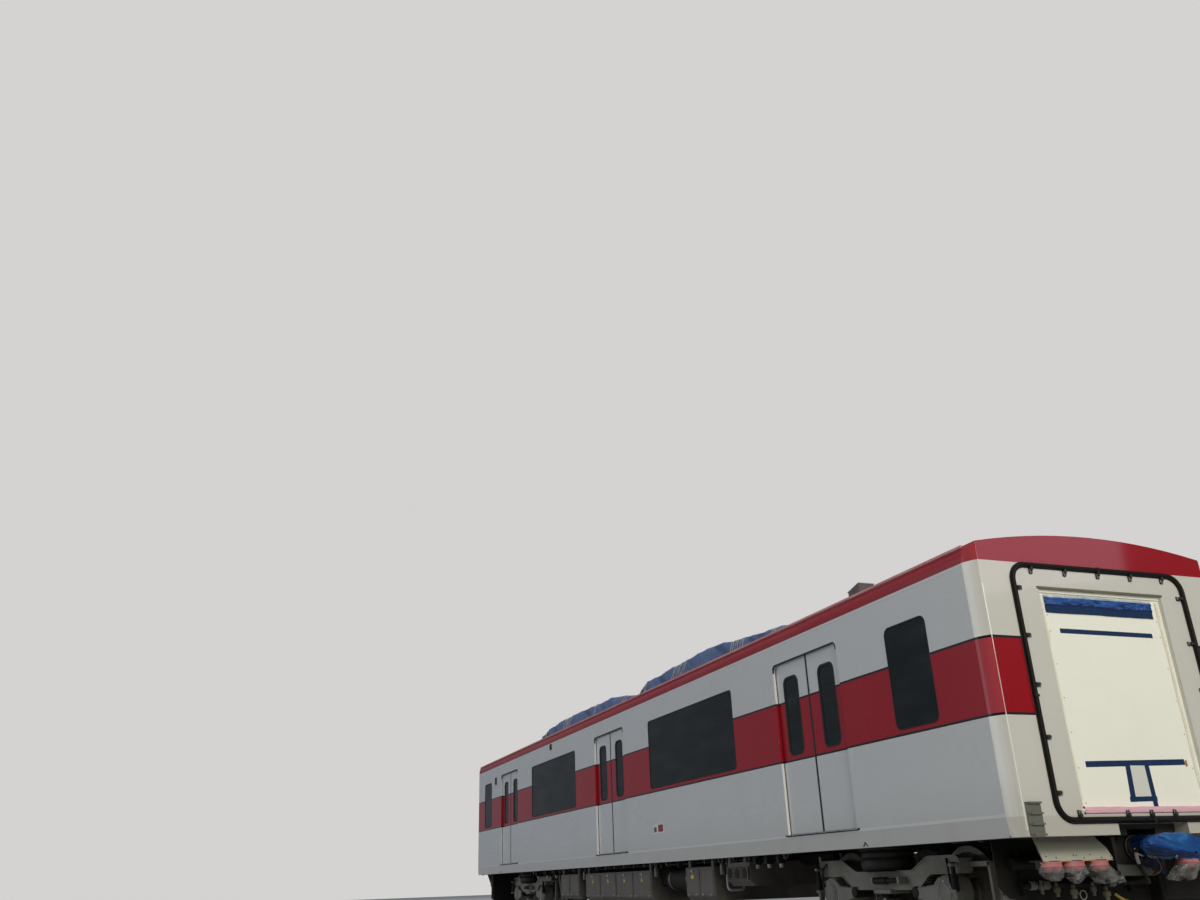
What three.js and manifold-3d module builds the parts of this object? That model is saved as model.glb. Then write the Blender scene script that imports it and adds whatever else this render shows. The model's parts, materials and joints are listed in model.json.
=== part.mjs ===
// Intermediate car of a three-door electric train on metre-gauge bogies, packed for transport.
// Millimetres: +X to the front end, +Y to the left side, +Z up, z = 0 under the wheel flanges.
import * as THREE from 'three';
import { mergeVertices } from 'three/addons/utils/BufferGeometryUtils.js';
import Module from 'manifold-3d';

const wasm = await Module();
wasm.setup();

// Body shell
const BODY_HALF = 9750;
const BODY_SIDE = 1430;
const BODY_BOTTOM = 900;
const WALL = 100;
const FIT = 0.3;
const BEVEL_TOP = 1060;
const BEVEL_IN = 18;
const CANTRAIL = 3240;
// Shoulder points: depth behind the side face and height over the cantrail
const SHOULDER = [[0, 0], [4, 80], [20, 150]];
const ROOF_EDGE = 1360;
const ROOF_RADIUS = 7040;
const ROOF_TOP = 3582;
const CEILING_EDGE = 3270;
const CEILING_TOP = 3330;
const CEILING_HALF = 620;
const CEILING_COVE = 130;
const CORNER_BACK = 9600;
const CORNER_FLAT = 1360;
const CORNER_PULL = { along: 12, across: 6 };
const FLOOR_TOP = 1100;
const FLOOR_BOTTOM = 1020;
// How far a cutter runs past what it cuts, and how far joined pieces run into each other
const OVER = 50;
const BITE = 5;

// Doors and windows
const DOOR_CENTRES = [6638, 0, -6638];
const DOOR_HALF = 719;
const DOOR_SILL = 1090;
const DOOR_HEAD = 3032;
const DOOR_HEAD_CORNER = 60;
const LEAF_DEPTH = 41;
const LEAF_THICK = 30;
const LEAF_SEAM = 3;
const LEAF_OUTER = 756;
const LEAF_BOTTOM = 1097;
const LEAF_TOP = 3070;
const POCKET_HALF = 1446;
const POCKET_CLEAR = 6;
const RUNNER_DEPTH = 50;
const RUNNER_THICK = 12;
const RUNNER_TOP = 3100;
const LEAF_GLASS = { near: 232, far: 555, bottom: 1958, top: 2843, corner: 80 };

// Window rows: distance from mid-car, half width, corner radius
const WINDOWS = [
  { at: 8609, half: 337, corner: 80 },
  { at: 3293, half: 1463, corner: 55 },
  { at: -3293, half: 1463, corner: 55 },
  { at: -8609, half: 337, corner: 80 },
];
const WINDOW_BOTTOM = 1944;
const WINDOW_TOP = 2949;
const PANE_DEPTH = 6;
const PANE_THICK = 16;

// Ends
const GANGWAY_HALF = 735;
const GANGWAY_BOTTOM = 1112;
const GANGWAY_TOP = 3040;
const BOARD_DEPTH = 40;
const BOARD_THICK = 25;
const SEAL_HALF = 1045;
const SEAL_BAND = 75;
const SEAL_BOTTOM = 990;
const SEAL_TOP = 3280;
const SEAL_CORNER = 190;
const SEAL_PROUD = 38;
const END_PANEL_FROM = DOOR_CENTRES[0] + DOOR_HALF;
const END_POCKET_HALF = 390;
const END_POCKET_TOP = 990;
// Ribbed step bracket at each foot of the end wall
const STEP = { near: 1190, far: 1345, low: 905, high: 1172, proud: 14, rib: 34, ribThick: 16, ribs: 4 };

// Underframe
const SOLEBAR_WIDE = 100;
const SILL_LAP = 20;
const BEAM_TOP = FLOOR_TOP - 20;
const BEAM_SHORT = 20;
const CROSS_BEAMS = [-4800, -3600, -2400, -1200, 0, 1200, 2400, 3600, 4800];
const CROSS_BEAM_HALF = 40;
const BOLSTER_HALF = 330;
const END_BEAM_BACK = 9300;
const DRAFT_SILL = { back: 8480, front: CORNER_BACK - FIT - 100, half: 200 };
const DRAFT_PLATE = { half: 180, thick: 50, low: 690 };
const COUPLER_ROOM = { half: 160, top: 950 };
const JACK_PAD = { at: 8750, along: 60, thick: 10 };
const SOCKETS = { sides: [1060, 820, 580], back: 80, radius: 68, low: 650, high: 712 };
// Socket plate outline: distance from the middle and height
const SOCKET_OUTLINE = [[1195, 915], [1119, 706], [378, 719], [425, 800], [520, 880], [551, 915]];
const SOCKET_PLATE = 12;
const SOCKET_SHELF = { far: 1119, near: 395, low: 706, deep: 170 };

// Bogies and wheelsets
const BOGIE_AT = 6900;
const AXLE_OFFSET = 1050;
const FLANGE_RADIUS = 458;
const TREAD_RADIUS = 430;
const AXLE_HEIGHT = FLANGE_RADIUS;
const WHEEL_SIDES = 20;
const WHEEL_BACK = 464;
const WHEEL_FACE = 590;
const FLANGE = { back: 471, tip: 485, root: 500 };
const TREAD_CONE = 3;
const RIM_RADIUS = 365;
const HUB_RADIUS = 125;
const WEB = { hub: 500, rim: 508, rimOut: 540, hubOut: 532 };
const HUB = { in: 440, out: 610 };
const AXLE_RADIUS = 85;
const JOURNAL_RADIUS = 64.6;
const JOURNAL_IN = 690;
const AXLE_END = 852;
const BEARING_BORE = 65.6;
const BEARING_BLIND = 862;
const FRAME_IN = 715;
const FRAME_OUT = 885;
const BOX_IN = 695;
const BOX_OUT = 905;
// Half of a side frame, and the axle box with its guide arm: distance from the bogie centre and height
const FRAME_HALF = [
  [0, 500],
  [560, 500],
  [800, 640],
  [1270, 640],
  [1290, 670],
  [1290, 770],
  [1240, 800],
  [790, 800],
  [520, 672],
  [0, 672],
];
const GUIDE_ARM = [
  [500, 510],
  [540, 430],
  [930, 340],
  [1150, 320],
  [1210, 400],
  [1210, 560],
  [1130, 610],
  [930, 610],
  [880, 540],
  [640, 520],
];
const SPRING_SEAT = { half: 105, inset: 10, low: 600, high: 660 };
const CROSS_TUBE = { radius: 85, at: 230, height: 585 };
const CENTRE_BLOCK = { along: 330, across: 160, low: 500, high: 660 };
const MOTOR = { radius: 205, at: 560, height: 500, near: 50, far: 430 };
const MOTOR_NOSE = { inset: 60, low: 530, high: 620 };
const GEAR_CASE = { radius: 270, near: 60, far: 50, neckTo: 1000, low: 380, high: 620 };
const AXLE_ROOM = 105;
const SPRING_BOTTOM = 672;
const SPRING_RADIUS = 290;
const SPRING_SIDE = 800;
const PIVOT_RADIUS = 90;
const PIVOT_HOLE = 97;
const PIVOT_BOTTOM = 570;

// Couplers
const COUPLER_HEIGHT = 800;
const COUPLER_ROOT = 9330;
const COUPLER_FLANGE = { radius: 135, thick: 45 };
const COUPLER_SHAFT = 75;
const HEAD_START = 9780;
const HEAD_END = 9960;
const HEAD_HALF = 130;
const HEAD_LOW = 720;
const HEAD_HIGH = 880;
// Cloth over the head: distance from mid-car, half width, bottom and top
const COUPLER_COVER = [
  [9655, 105, 705, 893],
  [9730, 175, 692, 905],
  [9800, 290, 684, 912],
  [9880, 335, 676, 918],
  [9960, 300, 690, 905],
  [10000, 190, 725, 875],
];
const COVER_POINTS = 12;
const COVER_ROUND = { across: 0.6, up: 0.5 };

// Underfloor cases: along the car from and to, half width, bottom and top
const CASES = [
  { name: 'battery_case', from: -3240, to: -2130, half: 1290, low: 380, high: 800 },
  { name: 'converter_case', from: -1760, to: 1350, half: 1290, low: 360, high: 800 },
  { name: 'brake_case', from: 2650, to: 3580, half: 1290, low: 380, high: 810 },
  { name: 'compressor_case', from: 3920, to: 4540, half: 1250, low: 557, high: 840 },
];
const CASE_BEVEL = 60;
const HANGER = 70;
const HANGER_SIDE = 1240;
const HANGER_HALF = 30;
const HANGER_IN = 90;
// Air tanks, their two straps and the valve unit between them
const TANKS = { sides: [-1000, -620, 620, 1000], from: 1520, to: 2520, radius: 150, height: 660 };
const STRAPS = { at: [1700, 2340], half: 20, reach: 1270, low: 760 };
const VALVE_UNIT = { from: 1580, to: 2460, half: 420, low: 560, high: 860 };

// Roof equipment and its covers
const ROOF_UNIT_AT = 3030;
const ROOF_UNIT = { half: 1080, side: 880, top: 3725, low: 3340 };
const COVER_THICK = 12;
// Cover sections: distance from mid-car, half width at the base, half width on top, top height
const FRONT_COVER = [
  [90, 930, 820, 3640],
  [430, 980, 930, 3745],
  [800, 1000, 950, 3797],
  [1980, 1005, 950, 3828],
  [2980, 1010, 950, 3860],
  [3500, 1010, 950, 3853],
  [4270, 1000, 950, 3764],
  [5380, 990, 930, 3702],
  [5640, 930, 820, 3640],
];
const REAR_COVER = [
  [-5760, 930, 820, 3650],
  [-5560, 980, 930, 3735],
  [-4910, 1000, 950, 3800],
  [-4085, 1010, 950, 3832],
  [-2830, 1010, 950, 3838],
  [-1550, 1005, 950, 3819],
  [-1107, 1000, 950, 3822],
  [-540, 990, 940, 3772],
  [-10, 930, 820, 3680],
];
// Cover folds: hem height, waist in and up, lip out and down, ridge in and down, flat crown share
const FOLD = { hem: 25, waist: [20, 15], lip: [15, 35], ridge: [60, 4], crown: 0.4 };
const ROOF_BOX = { from: 7140, to: 7365, side: -925, half: 105, low: 3340, back: 3668, front: 3722 };

// Benches between the doors
const BENCH_FROM = 880;
const BENCH_TO = 5760;
const BENCH_DEPTH = 460;
const BENCH_SEAT = 1530;
const BENCH_BACK = 1900;
const BENCH_FOOT = { low: 1380, front: 110, slope: 20 };
const BACKREST = { foot: 90, top: 50 };

// Colours
const WHITE = paint(0xd9dadb, 0.35);
const RED = paint(0xa5101f, 0.35);
const GLASS = paint(0x17191c, 0.08);
const RUBBER = paint(0x17181a, 0.7);
const STEEL = new THREE.MeshStandardMaterial({ color: 0x5c5e60, roughness: 0.45, metalness: 0.9 });
const FRAME_GREY = paint(0x4c4f50, 0.6);
const CASE_GREY = paint(0x6d7072, 0.5);
const TARP = paint(0x1f5fae, 0.6);
const BOARD = paint(0xe9ead9, 0.5);
const SEAT_BLUE = paint(0x2b5c9e, 0.6);

function paint(color, roughness) {
  return new THREE.MeshStandardMaterial({ color, roughness, metalness: 0 });
}

// A closed three.js geometry as a solid: corners merged, flat triangles dropped, faces outward
function solid(geometry) {
  const bare = geometry.index ? geometry.toNonIndexed() : geometry;
  bare.deleteAttribute('normal');
  bare.deleteAttribute('uv');
  const merged = mergeVertices(bare, 1e-3);
  const corners = merged.index.array;
  const faces = [];
  for (let i = 0; i < corners.length; i += 3) {
    const [a, b, c] = [corners[i], corners[i + 1], corners[i + 2]];
    if (a !== b && b !== c && c !== a) faces.push(a, b, c);
  }
  const vertProperties = merged.attributes.position.array;
  const made = manifold(vertProperties, faces);
  if (made.volume() > 0) return made;
  return manifold(vertProperties, faces.reverse());
}

function manifold(vertProperties, faces) {
  const mesh = new wasm.Mesh({ numProp: 3, vertProperties, triVerts: new Uint32Array(faces) });
  return new wasm.Manifold(mesh);
}

function geometryOf(body) {
  const mesh = body.getMesh();
  const geometry = new THREE.BufferGeometry();
  geometry.setAttribute('position', new THREE.BufferAttribute(new Float32Array(mesh.vertProperties), 3));
  geometry.setIndex(new THREE.BufferAttribute(new Uint32Array(mesh.triVerts), 1));
  const flat = geometry.toNonIndexed();
  flat.computeVertexNormals();
  return flat;
}

function join(parts) {
  return parts.reduce((whole, part) => whole.add(part));
}

function cut(body, tools) {
  return tools.reduce((left, tool) => left.subtract(tool), body);
}

// Block between two corners
function block([x0, x1], [y0, y1], [z0, z1]) {
  const box = new THREE.BoxGeometry(x1 - x0, y1 - y0, z1 - z0);
  return solid(box.translate((x0 + x1) / 2, (y0 + y1) / 2, (z0 + z1) / 2));
}

function outline(points) {
  return new THREE.Shape(points.map(([a, b]) => new THREE.Vector2(a, b)));
}

function roundedOutline([a0, a1], [b0, b1], corner) {
  const shape = new THREE.Shape();
  shape.moveTo(a0 + corner, b0);
  shape.lineTo(a1 - corner, b0);
  shape.absarc(a1 - corner, b0 + corner, corner, -Math.PI / 2, 0);
  shape.absarc(a1 - corner, b1 - corner, corner, 0, Math.PI / 2);
  shape.absarc(a0 + corner, b1 - corner, corner, Math.PI / 2, Math.PI);
  shape.absarc(a0 + corner, b0 + corner, corner, Math.PI, Math.PI * 1.5);
  return shape;
}

function extruded(shape, depth, curveSegments) {
  return new THREE.ExtrudeGeometry(shape, { depth, bevelEnabled: false, curveSegments });
}

// Outline in (y, z) carried along X
function alongX(shape, [x0, x1], curveSegments = 3) {
  const turn = new THREE.Matrix4().makeBasis(
    new THREE.Vector3(0, 1, 0),
    new THREE.Vector3(0, 0, 1),
    new THREE.Vector3(1, 0, 0),
  );
  return solid(extruded(shape, x1 - x0, curveSegments).applyMatrix4(turn).translate(x0, 0, 0));
}

// Outline in (x, z) carried along Y
function alongY(shape, [y0, y1], curveSegments = 2) {
  return solid(extruded(shape, y1 - y0, curveSegments).rotateX(Math.PI / 2).translate(0, y1, 0));
}

// Outline in (x, y) carried along Z
function alongZ(shape, [z0, z1], curveSegments = 4) {
  return solid(extruded(shape, z1 - z0, curveSegments).translate(0, 0, z0));
}

// Round bar along one axis, with a flat side down where it has an even number of sides
function bar(radius, axis, [from, to], [a, b], sides = 16) {
  const drum = new THREE.CylinderGeometry(radius, radius, to - from, sides);
  drum.rotateY(Math.PI / sides);
  const middle = (from + to) / 2;
  if (axis === 'y') return solid(drum.translate(a, middle, b));
  if (axis === 'z') return solid(drum.rotateX(Math.PI / 2).translate(a, b, middle));
  return solid(drum.rotateZ(-Math.PI / 2).rotateX(Math.PI / sides).translate(middle, a, b));
}

// Closed skin through rings of equal point count, one ring per station along X
function loft(given) {
  const first = given[0].map(([, y, z]) => new THREE.Vector2(y, z));
  const leftTurning = THREE.ShapeUtils.area(first) > 0;
  const rings = leftTurning ? given : given.map((ring) => [...ring].reverse());
  const count = rings[0].length;
  const positions = rings.flat(2);
  const faces = [];
  for (let r = 0; r + 1 < rings.length; r += 1) {
    for (let i = 0; i < count; i += 1) {
      const next = (i + 1) % count;
      const a = r * count + i;
      const b = r * count + next;
      faces.push(a, b, a + count, b, b + count, a + count);
    }
  }
  const capFlat = rings[0].map(([, y, z]) => new THREE.Vector2(y, z));
  const cap = THREE.ShapeUtils.triangulateShape(capFlat, []);
  const last = (rings.length - 1) * count;
  for (const [a, b, c] of cap) {
    faces.push(c, b, a);
    faces.push(a + last, b + last, c + last);
  }
  const geometry = new THREE.BufferGeometry();
  geometry.setAttribute('position', new THREE.Float32BufferAttribute(positions, 3));
  geometry.setIndex(faces);
  return solid(geometry);
}

// Body section

function roofHeight(y, proud = 0) {
  const radius = ROOF_RADIUS + proud;
  return ROOF_TOP - ROOF_RADIUS + Math.sqrt(radius * radius - y * y);
}

// Roof arch from the right edge to the left edge
function roofArch(proud = 0, steps = 14) {
  const points = [];
  for (let i = 0; i <= steps; i += 1) {
    const y = -ROOF_EDGE + (2 * ROOF_EDGE * i) / steps;
    points.push([y, roofHeight(y, proud)]);
  }
  return points;
}

// Shoulder between the flat side and the roof arch, on one side
function shoulder(side) {
  return SHOULDER.map(([inset, up]) => [side * (BODY_SIDE - inset), CANTRAIL + up]);
}

// Two distances on one side of the middle, lower first
function ordered(side, one, two) {
  return [side * one, side * two].sort((a, b) => a - b);
}

// Whole body section, with the sill bevel at the foot of each side
function bodySection() {
  const right = [
    [-(BODY_SIDE - BEVEL_IN), BODY_BOTTOM],
    [-BODY_SIDE, BEVEL_TOP],
  ];
  const left = right.map(([y, z]) => [-y, z]).reverse();
  return outline([...right, ...shoulder(-1), ...roofArch(), ...shoulder(1).reverse(), ...left]);
}

// Sides

// Depths into a side wall, as a range along Y
function depths(side, outer, inner) {
  return ordered(side, BODY_SIDE - outer, BODY_SIDE - inner);
}

function windowOutline(row, shrink) {
  const across = [row.at - row.half + shrink, row.at + row.half - shrink];
  return roundedOutline(across, [WINDOW_BOTTOM + shrink, WINDOW_TOP - shrink], row.corner);
}

function doorOutline(centre) {
  const shape = new THREE.Shape();
  const r = DOOR_HEAD_CORNER;
  shape.moveTo(centre - DOOR_HALF, DOOR_SILL);
  shape.lineTo(centre + DOOR_HALF, DOOR_SILL);
  shape.absarc(centre + DOOR_HALF - r, DOOR_HEAD - r, r, 0, Math.PI / 2);
  shape.absarc(centre - DOOR_HALF + r, DOOR_HEAD - r, r, Math.PI / 2, Math.PI);
  return shape;
}

// Cutters for the windows, doorways and door pockets of one side
function sideTools(side) {
  const tools = WINDOWS.map((row) => alongY(windowOutline(row, 0), depths(side, -OVER, WALL + OVER)));
  const pocketDepths = [LEAF_DEPTH - POCKET_CLEAR, LEAF_DEPTH + LEAF_THICK + POCKET_CLEAR];
  const runnerDepths = [RUNNER_DEPTH - FIT, RUNNER_DEPTH + RUNNER_THICK + FIT];
  for (const centre of DOOR_CENTRES) {
    const reach = [centre - POCKET_HALF, centre + POCKET_HALF];
    tools.push(alongY(doorOutline(centre), depths(side, -OVER, WALL + OVER)));
    tools.push(block(reach, depths(side, ...pocketDepths), [DOOR_SILL, LEAF_TOP + POCKET_CLEAR]));
    tools.push(block(reach, depths(side, ...runnerDepths), [LEAF_TOP, RUNNER_TOP + POCKET_CLEAR]));
  }
  return tools;
}

// Side wall between mid-car and the end panel, above the sill; way is +1 towards the front end
function sideWall(side, way) {
  const across = ordered(way, FIT, END_PANEL_FROM - FIT);
  return cut(block(across, depths(side, 0, WALL), [DOOR_SILL + FIT, CANTRAIL - FIT]), sideTools(side));
}

// One door leaf; way is +1 for the leaf that opens towards the front end
function doorLeaf(centre, side, way) {
  const across = [centre + way * LEAF_SEAM, centre + way * LEAF_OUTER].sort((a, b) => a - b);
  const glassAcross = [centre + way * LEAF_GLASS.near, centre + way * LEAF_GLASS.far].sort((a, b) => a - b);
  const panel = block(across, depths(side, LEAF_DEPTH, LEAF_DEPTH + LEAF_THICK), [LEAF_BOTTOM, LEAF_TOP]);
  const runner = block(
    across,
    depths(side, RUNNER_DEPTH, RUNNER_DEPTH + RUNNER_THICK),
    [LEAF_TOP - BITE, RUNNER_TOP],
  );
  const glass = roundedOutline(glassAcross, [LEAF_GLASS.bottom, LEAF_GLASS.top], LEAF_GLASS.corner);
  return panel.add(runner).subtract(alongY(glass, depths(side, 0, WALL)));
}

// Ends; way is +1 for the front end

// End wall with the side panels as far as the first doorway
function endWall(way) {
  const plan = new THREE.Shape();
  const rim = BODY_SIDE - WALL;
  const back = CORNER_BACK + FIT;
  const wide = [-BODY_SIDE, BODY_SIDE];
  plan.moveTo(END_PANEL_FROM, -BODY_SIDE);
  plan.lineTo(back, -BODY_SIDE);
  const { along, across } = CORNER_PULL;
  plan.quadraticCurveTo(BODY_HALF - along, -BODY_SIDE + across, BODY_HALF, -CORNER_FLAT);
  plan.lineTo(BODY_HALF, CORNER_FLAT);
  plan.quadraticCurveTo(BODY_HALF - along, BODY_SIDE - across, back, BODY_SIDE);
  plan.lineTo(END_PANEL_FROM, BODY_SIDE);
  const corner = alongZ(plan, [BODY_BOTTOM, ROOF_TOP + OVER], 5);
  const shell = corner.intersect(alongX(bodySection(), [0, BODY_HALF + OVER]));
  const rooms = [
    block([0, back], [-rim, rim], [0, ROOF_TOP + 2 * OVER]),
    block([0, back], wide, [0, DOOR_SILL + FIT]),
    block([0, back], wide, [CANTRAIL - FIT, ROOF_TOP + 2 * OVER]),
    block([0, BODY_HALF - WALL], [-rim, rim], [FLOOR_TOP, CANTRAIL]),
    block([0, BODY_HALF + OVER], [-GANGWAY_HALF, GANGWAY_HALF], [GANGWAY_BOTTOM, GANGWAY_TOP]),
    block([0, BODY_HALF + OVER], [-END_POCKET_HALF, END_POCKET_HALF], [0, END_POCKET_TOP]),
  ];
  const walls = cut(shell, [...rooms, ...sideTools(-1), ...sideTools(1)]);
  return mirrorEnd(join([walls, stepBracket(-1), stepBracket(1)]), way);
}

// Backing plate with level ribs, at one foot of the front end wall
function stepBracket(side) {
  const { near, far, low, high, proud, rib, ribThick, ribs } = STEP;
  const across = ordered(side, near, far);
  const parts = [block([BODY_HALF - BITE, BODY_HALF + proud], across, [low, high])];
  const pitch = (high - low - ribThick) / (ribs - 1);
  for (let i = 0; i < ribs; i += 1) {
    const foot = low + i * pitch;
    parts.push(block([BODY_HALF - BITE, BODY_HALF + rib], across, [foot, foot + ribThick]));
  }
  return join(parts);
}

// The rear end is the front end turned half round about the vertical axis
function mirrorEnd(body, way) {
  return way > 0 ? body : body.rotate([0, 0, 180]);
}

function gangwaySeal(way) {
  const outer = roundedOutline([-SEAL_HALF, SEAL_HALF], [SEAL_BOTTOM, SEAL_TOP], SEAL_CORNER);
  const innerHalf = SEAL_HALF - SEAL_BAND;
  const hole = roundedOutline(
    [-innerHalf, innerHalf],
    [SEAL_BOTTOM + SEAL_BAND, SEAL_TOP - SEAL_BAND],
    SEAL_CORNER - SEAL_BAND,
  );
  outer.holes.push(hole);
  return mirrorEnd(alongX(outer, [BODY_HALF + FIT, BODY_HALF + SEAL_PROUD], 4), way);
}

function gangwayBoard(way) {
  const front = BODY_HALF - BOARD_DEPTH;
  const across = GANGWAY_HALF - FIT;
  const board = block(
    [front - BOARD_THICK, front],
    [-across, across],
    [GANGWAY_BOTTOM + FIT, GANGWAY_TOP - FIT],
  );
  return mirrorEnd(board, way);
}

// Roof

function roofShell() {
  const rim = BODY_SIDE - WALL;
  const section = outline([
    ...shoulder(-1),
    ...roofArch(),
    ...shoulder(1).reverse(),
    [rim, CANTRAIL],
    [rim - CEILING_COVE, CEILING_EDGE],
    [CEILING_HALF, CEILING_TOP],
    [-CEILING_HALF, CEILING_TOP],
    [-(rim - CEILING_COVE), CEILING_EDGE],
    [-rim, CANTRAIL],
  ]);
  return alongX(section, [-CORNER_BACK + FIT, CORNER_BACK - FIT]);
}

// Everything under a skin that lies just over the roof
function roofTool() {
  const arch = roofArch(FIT);
  const low = CANTRAIL - OVER;
  const section = outline([[-ROOF_EDGE, low], ...arch, [ROOF_EDGE, low]]);
  return alongX(section, [-BODY_HALF, BODY_HALF]);
}

function coverRing([x, base, top, height], grow) {
  const low = CANTRAIL;
  const b = base - grow;
  const t = top - grow;
  const h = height - grow;
  const edge = roofHeight(base);
  const half = [
    [b, low],
    [b, edge + FOLD.hem],
    [b - FOLD.waist[0], (edge + h) / 2 + FOLD.waist[1]],
    [t + FOLD.lip[0], h - FOLD.lip[1]],
    [t - FOLD.ridge[0], h - FOLD.ridge[1]],
    [t * FOLD.crown, h],
  ];
  const right = half.map(([y, z]) => [x, -y, z]);
  const left = [...half].reverse().map(([y, z]) => [x, y, z]);
  return [...right, ...left];
}

function roofCover(stations, roof) {
  const outer = loft(stations.map((row) => coverRing(row, 0)));
  const inside = stations.map((row) => [...row]);
  inside[0][0] += COVER_THICK;
  inside[inside.length - 1][0] -= COVER_THICK;
  const hollow = loft(inside.map((row) => coverRing(row, COVER_THICK)));
  return cut(outer, [hollow, roof]);
}

function roofUnit(centre, roof) {
  const { half, side, top, low } = ROOF_UNIT;
  const body = block([centre - half, centre + half], [-side, side], [low, top]);
  return cut(body, [roof]);
}

function roofBox(roof) {
  const { from, to, side, half, low, back, front } = ROOF_BOX;
  const profile = outline([[from, low], [to, low], [to, front], [from, back]]);
  return cut(alongY(profile, [side - half, side + half]), [roof]);
}

// Underframe

function underframe() {
  const rim = BODY_SIDE - WALL - FIT;
  const reach = CORNER_BACK - FIT;
  const span = [-rim + BEAM_SHORT, rim - BEAM_SHORT];
  const depth = [BODY_BOTTOM, BEAM_TOP];
  const parts = [block([-reach, reach], [-rim, rim], [FLOOR_BOTTOM, FLOOR_TOP])];
  for (const side of [-1, 1]) parts.push(solebar(side, reach));
  for (const x of CROSS_BEAMS) parts.push(block([x - CROSS_BEAM_HALF, x + CROSS_BEAM_HALF], span, depth));
  for (const way of [-1, 1]) {
    const middle = way * BOGIE_AT;
    parts.push(block([middle - BOLSTER_HALF, middle + BOLSTER_HALF], span, depth));
    parts.push(bar(PIVOT_RADIUS, 'z', [PIVOT_BOTTOM, BODY_BOTTOM + OVER], [middle, 0], 20));
    parts.push(mirrorEnd(endBeams(span, depth, reach), way));
  }
  return join(parts);
}

// Side sill from under the floor out to the bevelled skin, with the doorway sills on top
function solebar(side, reach) {
  const rim = BODY_SIDE - WALL - FIT;
  const section = outline([
    [side * (rim - SOLEBAR_WIDE), BODY_BOTTOM],
    [side * (BODY_SIDE - BEVEL_IN), BODY_BOTTOM],
    [side * BODY_SIDE, BEVEL_TOP],
    [side * BODY_SIDE, DOOR_SILL],
    [side * (rim - SILL_LAP), DOOR_SILL],
    [side * (rim - SOLEBAR_WIDE), BEAM_TOP],
  ]);
  return alongX(section, [-reach, reach]);
}

// End beam, draft sill, draft plate, cable socket brackets and jacking pads of the front end
function endBeams(span, depth, reach) {
  const front = join([
    block([END_BEAM_BACK, reach], span, depth),
    block([DRAFT_SILL.back, DRAFT_SILL.front], [-DRAFT_SILL.half, DRAFT_SILL.half], depth),
    block(
      [COUPLER_ROOT - DRAFT_PLATE.thick, COUPLER_ROOT],
      [-DRAFT_PLATE.half, DRAFT_PLATE.half],
      [DRAFT_PLATE.low, BODY_BOTTOM + OVER],
    ),
    jumperBracket(-1),
    jumperBracket(1),
    jackPad(-1),
    jackPad(1),
  ]);
  const { half, top } = COUPLER_ROOM;
  return front.subtract(block([COUPLER_ROOT, BODY_HALF], [-half, half], [BODY_BOTTOM - OVER, top]));
}

// Pad under a side sill, as wide as the sill
function jackPad(side) {
  const { at, along, thick } = JACK_PAD;
  const rim = BODY_SIDE - WALL - FIT;
  const across = ordered(side, rim, rim - SOLEBAR_WIDE);
  return block([at - along, at + along], across, [BODY_BOTTOM - thick, BODY_BOTTOM + BITE]);
}

// Plate under the end wall that carries three cable sockets
function jumperBracket(side) {
  const front = CORNER_BACK - FIT;
  const edge = outline(SOCKET_OUTLINE.map(([y, z]) => [side * y, z]));
  const face = alongX(edge, [front - SOCKET_PLATE, front]);
  const { far, near, low: foot, deep } = SOCKET_SHELF;
  const shelf = block([front - deep, front], ordered(side, far, near), [foot, foot + SOCKET_PLATE]);
  const { sides, back, radius, low, high } = SOCKETS;
  const sockets = sides.map((y) => bar(radius, 'z', [low, high], [front - back, side * y], 8));
  return join([face, shelf, ...sockets]);
}

function underfloorCase({ from, to, half, low, high }) {
  const shell = alongX(
    outline([
      [-half + CASE_BEVEL, low],
      [half - CASE_BEVEL, low],
      [half, low + CASE_BEVEL],
      [half, high],
      [-half, high],
      [-half, low + CASE_BEVEL],
    ]),
    [from, to],
  );
  const parts = [shell];
  for (const x of [from + HANGER_IN, to - HANGER_IN]) {
    for (const side of [-1, 1]) {
      const y = side * HANGER_SIDE;
      const across = [y - HANGER_HALF, y + HANGER_HALF];
      parts.push(block([x - HANGER / 2, x + HANGER / 2], across, [high - BITE, BODY_BOTTOM - FIT]));
    }
  }
  return join(parts);
}

function airTanks() {
  const { sides, from, to, radius, height } = TANKS;
  const parts = sides.map((y) => bar(radius, 'x', [from, to], [y, height], 12));
  const { at, half, reach, low } = STRAPS;
  for (const x of at) parts.push(block([x - half, x + half], [-reach, reach], [low, BODY_BOTTOM - FIT]));
  const unit = VALVE_UNIT;
  parts.push(block([unit.from, unit.to], [-unit.half, unit.half], [unit.low, unit.high]));
  return join(parts);
}

// Couplers

function coupler(way) {
  const { radius, thick } = COUPLER_FLANGE;
  const draw = join([
    bar(radius, 'x', [COUPLER_ROOT + FIT, COUPLER_ROOT + thick], [0, COUPLER_HEIGHT], 20),
    bar(COUPLER_SHAFT, 'x', [COUPLER_ROOT + BITE, HEAD_START + BITE], [0, COUPLER_HEIGHT], 16),
    block([HEAD_START, HEAD_END], [-HEAD_HALF, HEAD_HALF], [HEAD_LOW, HEAD_HIGH]),
  ]);
  return mirrorEnd(draw, way);
}

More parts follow.
